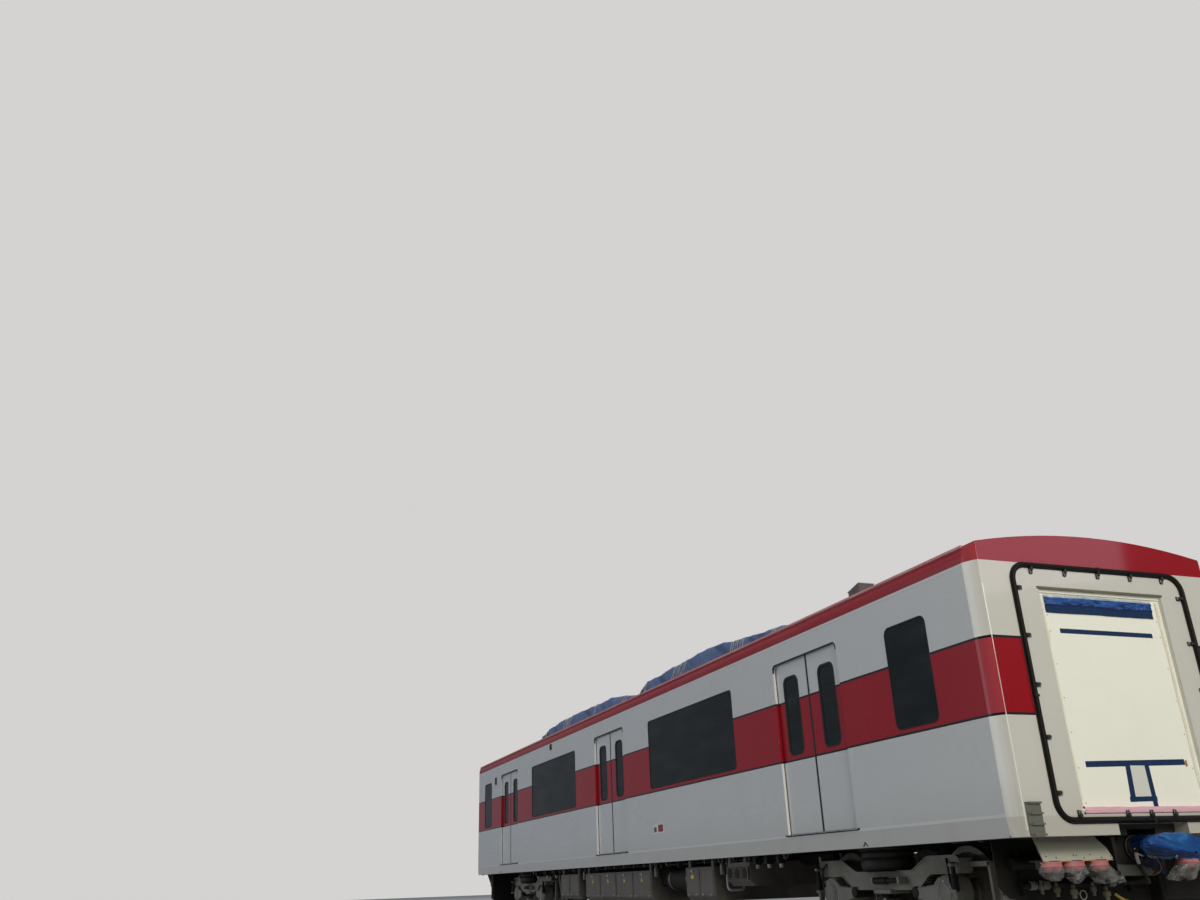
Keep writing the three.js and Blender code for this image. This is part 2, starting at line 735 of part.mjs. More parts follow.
// Wrapped cover over the coupler head, tied in round the shaft
function couplerCover(way) {
  const rings = COUPLER_COVER.map(([x, half, low, high]) => {
    const ring = [];
    for (let i = 0; i < COVER_POINTS; i += 1) {
      const turn = (i / COVER_POINTS) * 2 * Math.PI;
      const c = Math.cos(turn);
      const s = Math.sin(turn);
      const y = half * Math.sign(c) * Math.abs(c) ** COVER_ROUND.across;
      const z = (low + high) / 2 + ((high - low) / 2) * Math.sign(s) * Math.abs(s) ** COVER_ROUND.up;
      ring.push([x, y, z]);
    }
    return ring;
  });
  const head = block(
    [HEAD_START - FIT, HEAD_END + FIT],
    [-HEAD_HALF - FIT, HEAD_HALF + FIT],
    [HEAD_LOW - FIT, HEAD_HIGH + FIT],
  );
  const shaft = bar(COUPLER_SHAFT + FIT, 'x', [COUPLER_ROOT, HEAD_START + BITE], [0, COUPLER_HEIGHT], 16);
  return mirrorEnd(cut(loft(rings), [head, shaft]), way);
}

// Bogies, built about the origin and then set at their centre

function frameSide(side) {
  const other = FRAME_HALF.slice(1, -1).reverse().map(([x, z]) => [-x, z]);
  return alongY(outline([...FRAME_HALF, ...other]), ordered(side, FRAME_IN, FRAME_OUT));
}

// Axle box with its guide arm and spring seat
function axleBox(side, way) {
  const y = ordered(side, BOX_IN, BOX_OUT);
  const x = way * AXLE_OFFSET;
  const arm = outline(GUIDE_ARM.map(([out, z]) => [way * out, z]));
  const { half, inset, low, high } = SPRING_SEAT;
  const seat = block([x - half, x + half], [y[0] + inset, y[1] - inset], [low, high]);
  return alongY(arm, y).add(seat);
}

function bogieFrame(middle) {
  const parts = [];
  const tools = [bar(PIVOT_HOLE, 'z', [0, BODY_BOTTOM], [0, 0], 20)];
  for (const side of [-1, 1]) {
    parts.push(frameSide(side));
    for (const way of [-1, 1]) {
      parts.push(axleBox(side, way));
      const reach = ordered(side, BOX_IN - OVER, BEARING_BLIND);
      tools.push(bar(BEARING_BORE, 'y', reach, [way * AXLE_OFFSET, AXLE_HEIGHT], WHEEL_SIDES));
    }
  }
  for (const way of [-1, 1]) {
    const { radius, at, height } = CROSS_TUBE;
    parts.push(bar(radius, 'y', [-FRAME_IN - BITE, FRAME_IN + BITE], [way * at, height], 10));
    parts.push(motor(way));
    parts.push(gearcase(way));
    tools.push(bar(AXLE_ROOM, 'y', [-WHEEL_BACK, WHEEL_BACK], [way * AXLE_OFFSET, AXLE_HEIGHT], 12));
  }
  const { along, across, low, high } = CENTRE_BLOCK;
  parts.push(block([-along, along], [-across, across], [low, high]));
  return cut(join(parts), tools).translate([middle, 0, 0]);
}

// Traction motor, hung from the cross tube
function motor(way) {
  const y = ordered(-way, MOTOR.near, MOTOR.far);
  const { inset, low, high } = MOTOR_NOSE;
  const nose = block(ordered(way, CROSS_TUBE.at, MOTOR.at), [y[0] + inset, y[1] - inset], [low, high]);
  return bar(MOTOR.radius, 'y', y, [way * MOTOR.at, MOTOR.height], 12).add(nose);
}

// Gear case round the axle, joined to its motor
function gearcase(way) {
  const { radius, near, far, neckTo, low, high } = GEAR_CASE;
  const y = ordered(way, -near, far);
  const drum = bar(radius, 'y', y, [way * AXLE_OFFSET, AXLE_HEIGHT], 14);
  return drum.add(block(ordered(way, MOTOR.at, neckTo), y, [low, high]));
}

function airSpring(middle, side) {
  return bar(SPRING_RADIUS, 'z', [SPRING_BOTTOM + FIT, BODY_BOTTOM - FIT], [middle, side * SPRING_SIDE], 20);
}

// Axle with both wheels, turned about Y; rows are radius and distance from the middle
function wheelset(x) {
  const half = [
    [AXLE_RADIUS, HUB.in],
    [HUB_RADIUS, WEB.hub],
    [RIM_RADIUS, WEB.rim],
    [RIM_RADIUS, WHEEL_BACK],
    [FLANGE_RADIUS, FLANGE.back],
    [FLANGE_RADIUS, FLANGE.tip],
    [TREAD_RADIUS + TREAD_CONE, FLANGE.root],
    [TREAD_RADIUS, WHEEL_FACE],
    [RIM_RADIUS, WHEEL_FACE],
    [RIM_RADIUS, WEB.rimOut],
    [HUB_RADIUS, WEB.hubOut],
    [AXLE_RADIUS, HUB.out],
    [AXLE_RADIUS, JOURNAL_IN],
    [JOURNAL_RADIUS, JOURNAL_IN],
    [JOURNAL_RADIUS, AXLE_END],
    [0, AXLE_END],
  ];
  const other = [...half].reverse().map(([r, y]) => [r, -y]);
  const flat = Math.cos(Math.PI / WHEEL_SIDES);
  const points = [...other, ...half].map(([r, y]) => new THREE.Vector2(r, y));
  for (const point of points) if (point.x > JOURNAL_RADIUS) point.x /= flat;
  const turned = new THREE.LatheGeometry(points, WHEEL_SIDES).rotateY(Math.PI / WHEEL_SIDES);
  return solid(turned.translate(x, 0, AXLE_HEIGHT));
}

// Interior bench on one side wall
function bench([from, to], side) {
  const back = BODY_SIDE - WALL - FIT;
  const front = back - BENCH_DEPTH;
  const profile = outline([
    [side * back, BENCH_FOOT.low],
    [side * (back - BACKREST.foot), BENCH_FOOT.low],
    [side * front, BENCH_SEAT - BENCH_FOOT.front],
    [side * front, BENCH_SEAT],
    [side * (back - BACKREST.foot), BENCH_SEAT - BENCH_FOOT.slope],
    [side * (back - BACKREST.top), BENCH_BACK],
    [side * back, BENCH_BACK],
  ]);
  return alongX(profile, [from, to]);
}

// Assembly

const train = new THREE.Group();

function put(name, body, material) {
  const mesh = new THREE.Mesh(geometryOf(body), material);
  mesh.name = name;
  train.add(mesh);
}

const SIDES = [
  { name: 'right', sign: -1 },
  { name: 'left', sign: 1 },
];
const ENDS = [
  { name: 'front', way: 1 },
  { name: 'rear', way: -1 },
];

put('underframe', underframe(), FRAME_GREY);
put('roof_shell', roofShell(), RED);
for (const { name: side, sign } of SIDES) {
  put(`side_wall_front_${side}`, sideWall(sign, 1), WHITE);
  put(`side_wall_rear_${side}`, sideWall(sign, -1), WHITE);
  WINDOWS.forEach((row, i) => {
    const pane = alongY(windowOutline(row, FIT), depths(sign, PANE_DEPTH, PANE_DEPTH + PANE_THICK));
    put(`window_${i + 1}_${side}`, pane, GLASS);
  });
  DOOR_CENTRES.forEach((centre, i) => {
    put(`door_${i + 1}_${side}_fore`, doorLeaf(centre, sign, 1), WHITE);
    put(`door_${i + 1}_${side}_aft`, doorLeaf(centre, sign, -1), WHITE);
  });
  put(`bench_front_${side}`, bench([BENCH_FROM, BENCH_TO], sign), SEAT_BLUE);
  put(`bench_rear_${side}`, bench([-BENCH_TO, -BENCH_FROM], sign), SEAT_BLUE);
}

const roof = roofTool();
for (const { name: end, way } of ENDS) {
  put(`end_wall_${end}`, endWall(way), WHITE);
  put(`gangway_seal_${end}`, gangwaySeal(way), RUBBER);
  put(`gangway_board_${end}`, gangwayBoard(way), BOARD);
  put(`coupler_${end}`, coupler(way), STEEL);
  put(`coupler_cover_${end}`, couplerCover(way), TARP);
  put(`roof_unit_${end}`, roofUnit(way * ROOF_UNIT_AT, roof), CASE_GREY);
  put(`roof_cover_${end}`, roofCover(way > 0 ? FRONT_COVER : REAR_COVER, roof), TARP);
  const middle = way * BOGIE_AT;
  put(`bogie_frame_${end}`, bogieFrame(middle), FRAME_GREY);
  for (const { name: side, sign } of SIDES) {
    put(`air_spring_${end}_${side}`, airSpring(middle, sign), RUBBER);
  }
  put(`wheelset_${end}_fore`, wheelset(middle + AXLE_OFFSET), STEEL);
  put(`wheelset_${end}_aft`, wheelset(middle - AXLE_OFFSET), STEEL);
}
put('roof_box', roofBox(roof), CASE_GREY);
for (const row of CASES) put(row.name, underfloorCase(row), CASE_GREY);
put('air_tanks', airTanks(), CASE_GREY);

export default train;
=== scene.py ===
import json
import math
import random

import bmesh
import bpy
from mathutils import Matrix, Vector, noise


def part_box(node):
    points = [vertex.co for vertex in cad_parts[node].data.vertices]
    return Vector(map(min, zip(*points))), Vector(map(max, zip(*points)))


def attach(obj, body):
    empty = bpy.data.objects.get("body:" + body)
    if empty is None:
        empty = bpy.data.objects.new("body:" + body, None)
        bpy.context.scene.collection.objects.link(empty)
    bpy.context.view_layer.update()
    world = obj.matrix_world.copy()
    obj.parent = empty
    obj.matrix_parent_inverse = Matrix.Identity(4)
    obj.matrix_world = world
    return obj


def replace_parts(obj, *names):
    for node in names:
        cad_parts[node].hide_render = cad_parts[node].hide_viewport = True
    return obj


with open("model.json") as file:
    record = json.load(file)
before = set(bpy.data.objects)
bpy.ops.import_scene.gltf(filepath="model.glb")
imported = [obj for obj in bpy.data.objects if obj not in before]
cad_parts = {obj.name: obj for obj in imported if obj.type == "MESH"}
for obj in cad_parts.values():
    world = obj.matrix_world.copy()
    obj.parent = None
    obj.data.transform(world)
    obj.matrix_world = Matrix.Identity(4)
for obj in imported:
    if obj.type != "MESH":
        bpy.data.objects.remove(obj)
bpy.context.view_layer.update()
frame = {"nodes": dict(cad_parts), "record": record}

SIDE = 1.43
END = 9.75
BODY_END = 9.60
UNDERSIDE = 0.9
CANTRAIL = 3.24
WAIST_LOW, WAIST_HIGH, WAIST_LINE = 1.906, 2.556, 0.022
RED_TOP = 3.271
ROOF_TOP, ROOF_RADIUS = 3.582, 7.04
# Middle of each doorway of a side
DOORS = (6.638, 0.0, -6.638)
DOOR_HALF, DOOR_SILL, DOOR_HEAD = 0.719, 1.09, 3.032
LEAF_FACE = SIDE - 0.041
# Middle, half width and corner radius of each window of a side
WINDOWS = ((8.609, 0.337, 0.080), (3.293, 1.463, 0.055), (-3.293, 1.463, 0.055), (-8.609, 0.337, 0.080))
WINDOW_LOW, WINDOW_HIGH = 1.944, 2.949
BOGIES = {"front": 6.9, "rear": -6.9}
AXLE, AXLE_UP = 1.05, 0.458
ENDS = {"front": 1, "rear": -1}
SIDES = {"right": -1, "left": 1}
SIGNS = (-1, 1)
BOARD_FACE = 0.0405
COUPLER_UP = 0.8
TANKS = (-1.0, -0.62, 0.62, 1.0)
SOCKET_X, SOCKETS_Y = 9.545, (1.012, 0.772, 0.515)
SPRING_SIDE = 0.80


# Camera

def photo_camera():
    """The camera that took the photograph, solved from the car's own corners."""
    yaw, pitch, roll = map(math.radians, (20.273, 22.962, -1.945))
    ahead = Vector((-math.cos(yaw) * math.cos(pitch), math.sin(yaw) * math.cos(pitch), math.sin(pitch)))
    level = ahead.cross(Vector((0, 0, 1))).normalized()
    upright = level.cross(ahead)
    right = math.cos(roll) * level + math.sin(roll) * upright
    up = math.cos(roll) * upright - math.sin(roll) * level
    camera = bpy.data.objects.new("camera", bpy.data.cameras.new("camera"))
    bpy.context.scene.collection.objects.link(camera)
    camera.matrix_world = Matrix.Translation((16.981, -7.668, 0.678)) @ Matrix(
        (right, up, -ahead)).transposed().to_4x4()
    camera.data.lens = 30.48
    camera.data.sensor_width = 36
    camera.data.clip_start = 0.1
    camera.data.clip_end = 400
    bpy.context.scene.camera = camera


photo_camera()


# Node trees

class Number:
    """A number that varies over a surface; an expression on it adds its Math nodes."""

    def __init__(self, tree, socket):
        self.tree = tree
        self.socket = socket

    def maths(self, operation, *values):
        made = self.tree.node("ShaderNodeMath", {"operation": operation}, dict(enumerate(values)))
        return Number(self.tree, made.outputs[0])

    def __add__(self, other):
        return self.maths("ADD", self, other)

    def __sub__(self, other):
        return self.maths("SUBTRACT", self, other)

    def __rsub__(self, other):
        return self.maths("SUBTRACT", other, self)

    def __mul__(self, other):
        return self.maths("MULTIPLY", self, other)

    def __abs__(self):
        return self.maths("ABSOLUTE", self)

    def wrapped(self, length):
        """Distance within each repeat of a length, from 0 to that length."""
        return self.maths("WRAP", self, length, 0.0)

    def most(self, other):
        return self.maths("MAXIMUM", self, other)

    def rise(self, low, high):
        """0 below low, 1 above high, smooth between."""
        made = self.tree.node("ShaderNodeMapRange", {"interpolation_type": "SMOOTHSTEP"},
                              {0: self, 1: low, 2: high, 3: 0.0, 4: 1.0})
        return Number(self.tree, made.outputs[0])

    def fall(self, low, high):
        return 1 - self.rise(low, high)

    def between(self, low, high, soft=0.001):
        """1 between low and high, with soft edges."""
        return self.rise(low - soft, low + soft) * self.fall(high - soft, high + soft)

    __radd__ = __add__
    __rmul__ = __mul__


class Tree:
    """A node tree with one way to add any node: settings first, then socket values or links."""

    def __init__(self, nodes):
        self.nodes = nodes

    def put(self, socket, value):
        value = getattr(value, "socket", value)
        if isinstance(value, bpy.types.NodeSocket):
            self.nodes.links.new(value, socket)
        else:
            socket.default_value = value

    def node(self, kind, settings=None, values=None):
        made = self.nodes.nodes.new(kind)
        for name, value in (settings or {}).items():
            setattr(made, name, value)
        for key, value in (values or {}).items():
            self.put(made.inputs[key], value)
        return made


class Finish(Tree):
    """A surface finish: one shader, with its fixed values, and what varies over the surface."""

    def __init__(self, name, **fixed):
        self.material = bpy.data.materials.new(name)
        self.material.use_nodes = True
        super().__init__(self.material.node_tree)
        self.shader = self.nodes.nodes["Principled BSDF"]
        for key, value in fixed.items():
            self.shader.inputs[key.replace("_", " ").title().replace("Ior", "IOR")].default_value = value
        self.place = self.node("ShaderNodeTexCoord").outputs["Object"]
        parts = self.node("ShaderNodeSeparateXYZ", None, {0: self.place})
        self.x, self.y, self.z = (Number(self, socket) for socket in parts.outputs)

    def cloud(self, scale, detail=3.0, stretch=(1, 1, 1), place=None):
        """Noise about 0.5; a large stretch number makes the grain finer that way."""
        spread = self.node("ShaderNodeMapping", None, {0: place or self.place, 3: stretch})
        made = self.node("ShaderNodeTexNoise", None,
                         {"Vector": spread.outputs[0], "Scale": scale, "Detail": detail})
        return Number(self, made.outputs[0])

    def blend(self, share, one, two):
        """Colour one where share is 0, colour two where it is 1."""
        made = self.node("ShaderNodeMix", {"data_type": "RGBA"}, {0: share, 6: full(one), 7: full(two)})
        return made.outputs[2]

    def wear(self, colour=None, roughness=None, metallic=None, coat=None, alpha=None, relief=None,
             depth=0.001):
        """Links what varies; relief is a height from 0 to 1, and depth what 1 stands for."""
        links = {"Base Color": colour, "Roughness": roughness, "Metallic": metallic,
                 "Coat Weight": coat, "Alpha": alpha}
        for key, value in links.items():
            if value is not None:
                self.put(self.shader.inputs[key], value)
        if relief is not None:
            bump = self.node("ShaderNodeBump", None, {"Strength": 1.0, "Distance": depth, "Height": relief})
            self.put(self.shader.inputs["Normal"], bump.outputs[0])
        return self.material


def full(colour):
    """A colour with its alpha; a link stays as it is."""
    return (*colour, 1.0) if isinstance(colour, tuple) and len(colour) == 3 else colour


# Finishes

# WHITE has a cool cast for the shaded flanks and END_WHITE_LIT_WARM a warmer, darker one for the lit ends:
# one white paint in two painted light colours. END_RED_LIT is the red likewise painted deeper for the lit end
# face.
WHITE = (0.72, 0.735, 0.75)
END_WHITE_LIT_WARM = (0.64, 0.63, 0.585)
RED = (0.40, 0.004, 0.018)
END_RED_LIT = (0.315, 0.002, 0.008)
CREAM = (0.62, 0.60, 0.52)
BLACK = (0.012, 0.012, 0.013)
DUST = (0.36, 0.33, 0.28)
PACKED_FOLD = 0.62


def coach_paint(name, skin, ends=False, reveal=0.014):
    """White gloss with the waist band and the red top, and cream boards on the inside."""
    paint = Finish(name, coat_roughness=0.05, ior=1.45, specular_ior_level=0.15)
    out = abs(paint.y)
    far = abs(paint.x)
    outside = out.rise(skin - reveal - 0.001, skin - reveal + 0.001)
    band = paint.z.between(WAIST_LOW, WAIST_HIGH)
    lines = paint.z.between(WAIST_LOW - WAIST_LINE, WAIST_HIGH + WAIST_LINE)
    clouds = paint.cloud(0.8, 4, (1.0, 1.0, 0.7))
    mottle = paint.cloud(2.6, 5)
    grime = paint.z.fall(0.9, 1.5) * 0.30 + clouds.rise(0.48, 0.75) * 0.10 + mottle.rise(0.5, 0.8) * 0.08
    bright = WHITE
    if ends:
        outside = outside.most(far.rise(9.692, 9.698)).most(paint.z.rise(CANTRAIL, CANTRAIL + 0.003))
        beside_seal = out.rise(1.044, 1.046).most(far.fall(9.70, 9.71))
        band = band * beside_seal
        lines = lines * beside_seal
        # The ends take the warmer copy of the white: painted light colour.
        bright = paint.blend(far.rise(BODY_END - 0.001, BODY_END + 0.001), WHITE, END_WHITE_LIT_WARM)
        turn = far.between(BODY_END + 0.001, 9.742)
        # The corner facet from flank to end is painted lighter, fading towards the end: a painted highlight.
        bright = paint.blend(turn * (1 - far.rise(9.63, 9.74) * 0.85), bright, (1.0, 0.98, 0.94))
    white = paint.blend(grime, bright, (0.47, 0.45, 0.39))
    # Below 1.06 m the white is painted darker: painted shade along the foot of the side.
    white = paint.blend(paint.z.fall(1.058, 1.064) * 0.45, white, (0.44, 0.42, 0.37))
    if not ends:
        # The returns of the openings, 6 to 34 mm in from the face, are painted lighter than the white:
        # painted light on the jambs.
        white = paint.blend(out.between(skin - 0.034, skin - 0.006) * 0.9, white, (1.0, 0.98, 0.94))
    red = paint.blend(clouds.rise(0.45, 0.8) * 0.10, RED, (0.46, 0.08, 0.10))
    if ends:
        # The red on the corner facet is painted paler, a painted highlight; the end face takes the deeper
        # copy of the red, painted light colour.
        red = paint.blend(turn * 0.55, red, (0.50, 0.10, 0.12))
        red = paint.blend(far.rise(9.745, 9.749), red, END_RED_LIT)
    skin_colour = paint.blend(lines, white, BLACK)
    skin_colour = paint.blend(band, skin_colour, red)
    skin_colour = paint.blend(paint.z.rise(RED_TOP - 0.001, RED_TOP + 0.001), skin_colour, red)
    gloss = 0.78 - grime
    if ends:
        gloss = gloss * (1 - turn * 0.9)
        # A thin pale line down each front corner edge of the end face: a painted highlight.
        edge_highlight = far.rise(9.7455, 9.7475) * out.between(1.3545, 1.3640) * paint.z.between(0.95, 3.05)
        edge_highlight = edge_highlight * (0.50 + mottle.rise(0.3, 0.6) * 0.3) * (1 - band * 0.35)
        skin_colour = paint.blend(edge_highlight, skin_colour, (1.0, 0.97, 0.93))
        steps = far.rise(9.751, 9.753) * paint.z.fall(1.18, 1.185)
        skin_colour = paint.blend(steps, skin_colour, (0.155, 0.155, 0.130))
    speck = paint.cloud(60, 2)
    cream = paint.blend(speck.rise(0.4, 0.7) * 0.25, CREAM, (0.50, 0.49, 0.44))
    wave = paint.cloud(1.3, 1.5, (1, 1, 1.6))
    return paint.wear(
        colour=paint.blend(outside, cream, skin_colour),
        roughness=0.26 + grime * 0.35,
        coat=outside * gloss,
        relief=wave + speck * 0.004, depth=0.004)


def roof_paint(name):
    """Red gloss, dusty on top, with the cream ceiling inside."""
    paint = Finish(name, coat_roughness=0.12, specular_ior_level=0.25)
    inside = abs(paint.y).fall(1.335, 1.34) * paint.z.fall(3.336, 3.34)
    patches = paint.cloud(1.6, 5, (0.6, 1, 1))
    dust = paint.z.rise(3.40, 3.56) * (0.35 + patches.rise(0.4, 0.7) * 0.4)
    red = paint.blend(0.12 + patches.rise(0.5, 0.8) * 0.2, RED, (0.58, 0.12, 0.14))
    # Low on the roof band the red is painted darker: painted shade below the gutter.
    red = paint.blend(paint.z.fall(3.27, 3.36) * 0.35, red, (0.16, 0.004, 0.010))
    top = paint.blend(dust, red, (0.46, 0.22, 0.20))
    top = paint.blend(paint.z.fall(RED_TOP - 0.001, RED_TOP + 0.001), top, WHITE)
    perforation = paint.cloud(90, 1)
    ceiling = paint.blend(perforation.rise(0.4, 0.6) * 0.2, (0.66, 0.66, 0.62), (0.5, 0.5, 0.47))
    return paint.wear(colour=paint.blend(inside, top, ceiling), roughness=0.30 + dust * 0.6,
                      coat=(1 - inside) * (0.5 - dust * 0.5), relief=paint.cloud(1.2, 2), depth=0.003)


def plain(name, colour, rough=0.5, metal=0.0, worn=None, share=0.5, grain=14.0, pits=0.0004, low_dust=0.0,
          stretch=(1, 1, 1), coat=0.0, **fixed):
    """A finish of one colour with patches of a worn one, fine grain, and dust that gathers low down."""
    made = Finish(name, metallic=metal, **fixed)
    patches = made.cloud(grain * 0.22, 4, stretch)
    fine = made.cloud(grain * 5, 3, stretch)
    worn = worn or tuple(0.62 * part + 0.03 for part in colour)
    shade = made.blend(patches.rise(0.38, 0.68) * share, colour, worn)
    shade = made.blend(fine.rise(0.35, 0.75) * (share * 0.5), shade, worn)
    if low_dust:
        dust = made.z.fall(0.2, 1.1) * patches.rise(0.3, 0.6) * low_dust
        shade = made.blend(dust, shade, DUST)
    return made.wear(colour=shade, roughness=rough + (patches - 0.5) * 0.35 + (fine - 0.5) * 0.12,
                     coat=(patches.fall(0.4, 0.7) * coat) if coat else None,
                     relief=fine * 0.4 + patches * 0.6, depth=pits * 4)


def dark_glass(name, see_through):
    """Tinted glass with faint dust and wipe marks."""
    glass = Finish(name, ior=1.5)
    wipe = glass.cloud(3, 4, (0.5, 1, 2))
    return glass.wear(colour=glass.blend(wipe.rise(0.4, 0.8) * 0.35, (0.010, 0.013, 0.015),
                                         (0.035, 0.04, 0.043)),
                      roughness=0.05 + wipe.rise(0.45, 0.8) * 0.12,
                      alpha=1 - wipe.fall(0.3, 0.7) * see_through, relief=glass.cloud(0.8, 1), depth=0.0015)


def woven_sheet(name, colour, pale, shade, pitch=0.006, relief=0.022):
    """Woven plastic sheet on its own UV, in metres: threads, creases, pale painted highlights with some scuff
    wear on the ridges, and painted shade in the folds.
    """
    cloth = Finish(name, sheen_weight=0.02, ior=1.45, specular_ior_level=0.3)
    uv = cloth.node("ShaderNodeUVMap", {"uv_map": "cloth"}).outputs[0]
    parts = cloth.node("ShaderNodeSeparateXYZ", None, {0: uv})
    along, over = (Number(cloth, socket) for socket in list(parts.outputs)[:2])
    deep = Number(cloth, cloth.node("ShaderNodeAttribute", {"attribute_name": "fold"}).outputs["Fac"])
    threads = abs(along.wrapped(pitch) - pitch / 2).rise(0, pitch / 2)
    threads = threads * abs(over.wrapped(pitch) - pitch / 2).rise(0, pitch / 2)
    folds = cloth.cloud(1.6, 6, place=uv)
    crumple = cloth.cloud(9, 5, (1, 1.5, 1), place=uv)
    half = PACKED_FOLD / 2
    packed = abs(along.wrapped(PACKED_FOLD) - half).rise(half - 0.012, half)
    packed = packed.most(abs(over.wrapped(PACKED_FOLD) - half).rise(half - 0.012, half))
    # Pale painted highlights on the ridges, kept out of the folds; they also roughen the sheet as scuff wear.
    highlights_and_scuffs = (crumple.rise(0.50, 0.70) * 0.35 + folds.rise(0.5, 0.75) * 0.3) * deep.fall(0.3, 0.8)
    tint = cloth.blend(highlights_and_scuffs, colour, pale)
    tint = cloth.blend(packed * 0.25, tint, pale)
    tint = cloth.blend(deep.rise(0.45, 1.0) * 0.85, tint, shade)
    return cloth.wear(colour=tint, roughness=0.34 + highlights_and_scuffs * 0.35, coat=0.04 + folds.rise(0.4, 0.6) * 0.12,
                      relief=crumple * 0.9 + threads * 0.02 + packed * 0.10, depth=relief)


def clear_film(name, tint, cover, veil=0.5, shade=None):
    """Thin plastic film with pale painted glints along its ridges, and a darker tint in the folds as painted
    shade.
    """
    film = Finish(name, ior=1.4)
    deep = Number(film, film.node("ShaderNodeAttribute", {"attribute_name": "fold"}).outputs["Fac"])
    crumple = film.cloud(11, 5, (1, 1, 0.7))
    glint = crumple.rise(0.56, 0.68) * deep.fall(0.35, 0.75)
    colour = film.blend(deep.rise(0.35, 0.95), tint, shade or tint)
    return film.wear(colour=film.blend(glint * veil, colour, (0.62, 0.66, 0.70)),
                     roughness=0.16 + crumple * 0.22,
                     alpha=cover + glint * veil + deep.rise(0.5, 1.0) * (1 - cover) * 0.4,
                     coat=0.2 + glint * 0.5, relief=crumple, depth=0.007)


def marked_tape(name, colour, pale):
    """Adhesive tape, slightly wrinkled across."""
    tape = Finish(name, specular_ior_level=0.25)
    wrinkle = tape.cloud(18, 4, (1, 3, 3))
    return tape.wear(colour=tape.blend(wrinkle.rise(0.5, 0.75) * 0.5, colour, pale),
                     roughness=0.30 + wrinkle * 0.3, coat=0.1 + wrinkle * 0.2, relief=wrinkle, depth=0.006)


def striped(name, first, second, pitch, lean=1.0):
    """Two colours in slanting stripes, for the tie rope and the warning edges."""
    made = Finish(name)
    turn = (made.x + made.y * 0.7 + made.z * lean).wrapped(pitch)
    stripe = turn.between(pitch * 0.25, pitch * 0.75, pitch * 0.08)
    fuzz = made.cloud(200, 3)
    return made.wear(colour=made.blend(stripe * 0.8 + fuzz * 0.2, first, second), roughness=0.7 + fuzz * 0.2,
                     relief=stripe + fuzz * 0.4, depth=0.003)


def label_face(name):
    """A blank label: a pale field with a dark green block and a crimson block."""
    made = Finish(name, coat_roughness=0.1)
    out = abs(made.x)
    high = made.z.between(1.318, 1.418)
    fade = made.cloud(30, 3)
    field = made.blend(fade * 0.3, (0.86, 0.86, 0.80), (0.66, 0.66, 0.60))
    shade = made.blend(out.between(2.045, 2.235) * high, field, (0.32, 0.020, 0.060))
    shade = made.blend(out.between(1.885, 1.985) * made.z.between(1.318, 1.390), shade, (0.060, 0.145, 0.105))
    return made.wear(colour=shade, roughness=0.3 + fade * 0.2, coat=fade * 0.4, relief=fade, depth=0.0006)


def vinyl_floor(name):
    """Speckled floor covering, and the dark chassis paint on all that lies lower, made near-black as painted
    shade under the car.
    """
    made = Finish(name)
    top = made.z.rise(1.099, 1.0995) * abs(made.y).fall(1.29, 1.295)
    sill_face = abs(made.y).rise(1.40, 1.405)
    fine = made.cloud(120, 2)
    patches = made.cloud(3, 4)
    frame_paint_and_shade = made.blend(patches.rise(0.4, 0.7) * 0.6, (0.016, 0.016, 0.014), (0.045, 0.040, 0.033))
    # The sill face is painted darker below 1.06 m: painted shade along its foot, with dirt patches.
    skirt_dirt_and_shade = made.blend(made.z.fall(1.058, 1.064) * 0.45 + patches.rise(0.5, 0.8) * 0.12, WHITE,
                       (0.46, 0.44, 0.40))
    floor = made.blend(fine.rise(0.5, 0.62), (0.16, 0.18, 0.20), (0.34, 0.36, 0.37))
    shade = made.blend(sill_face, made.blend(top, frame_paint_and_shade, floor), skirt_dirt_and_shade)
    socket_plate = abs(made.x).rise(9.585, 9.586) * abs(made.y).rise(0.374, 0.376) * made.z.fall(0.916, 0.918)
    # The socket plate is painted darker towards its top, under the body: painted shade; the patches are dirt.
    plate_paint_and_shade = made.blend(made.z.rise(0.715, 0.815), (0.43, 0.435, 0.36), (0.150, 0.150, 0.118))
    plate_paint_and_shade = made.blend(patches.rise(0.4, 0.7) * 0.3, plate_paint_and_shade, (0.22, 0.21, 0.16))
    shade = made.blend(socket_plate, shade, plate_paint_and_shade)
    return made.wear(colour=shade, roughness=0.62 - sill_face * 0.25 + fine * 0.1, coat=sill_face * 0.4,
                     relief=patches * 0.7 + fine * 0.1, depth=0.002)


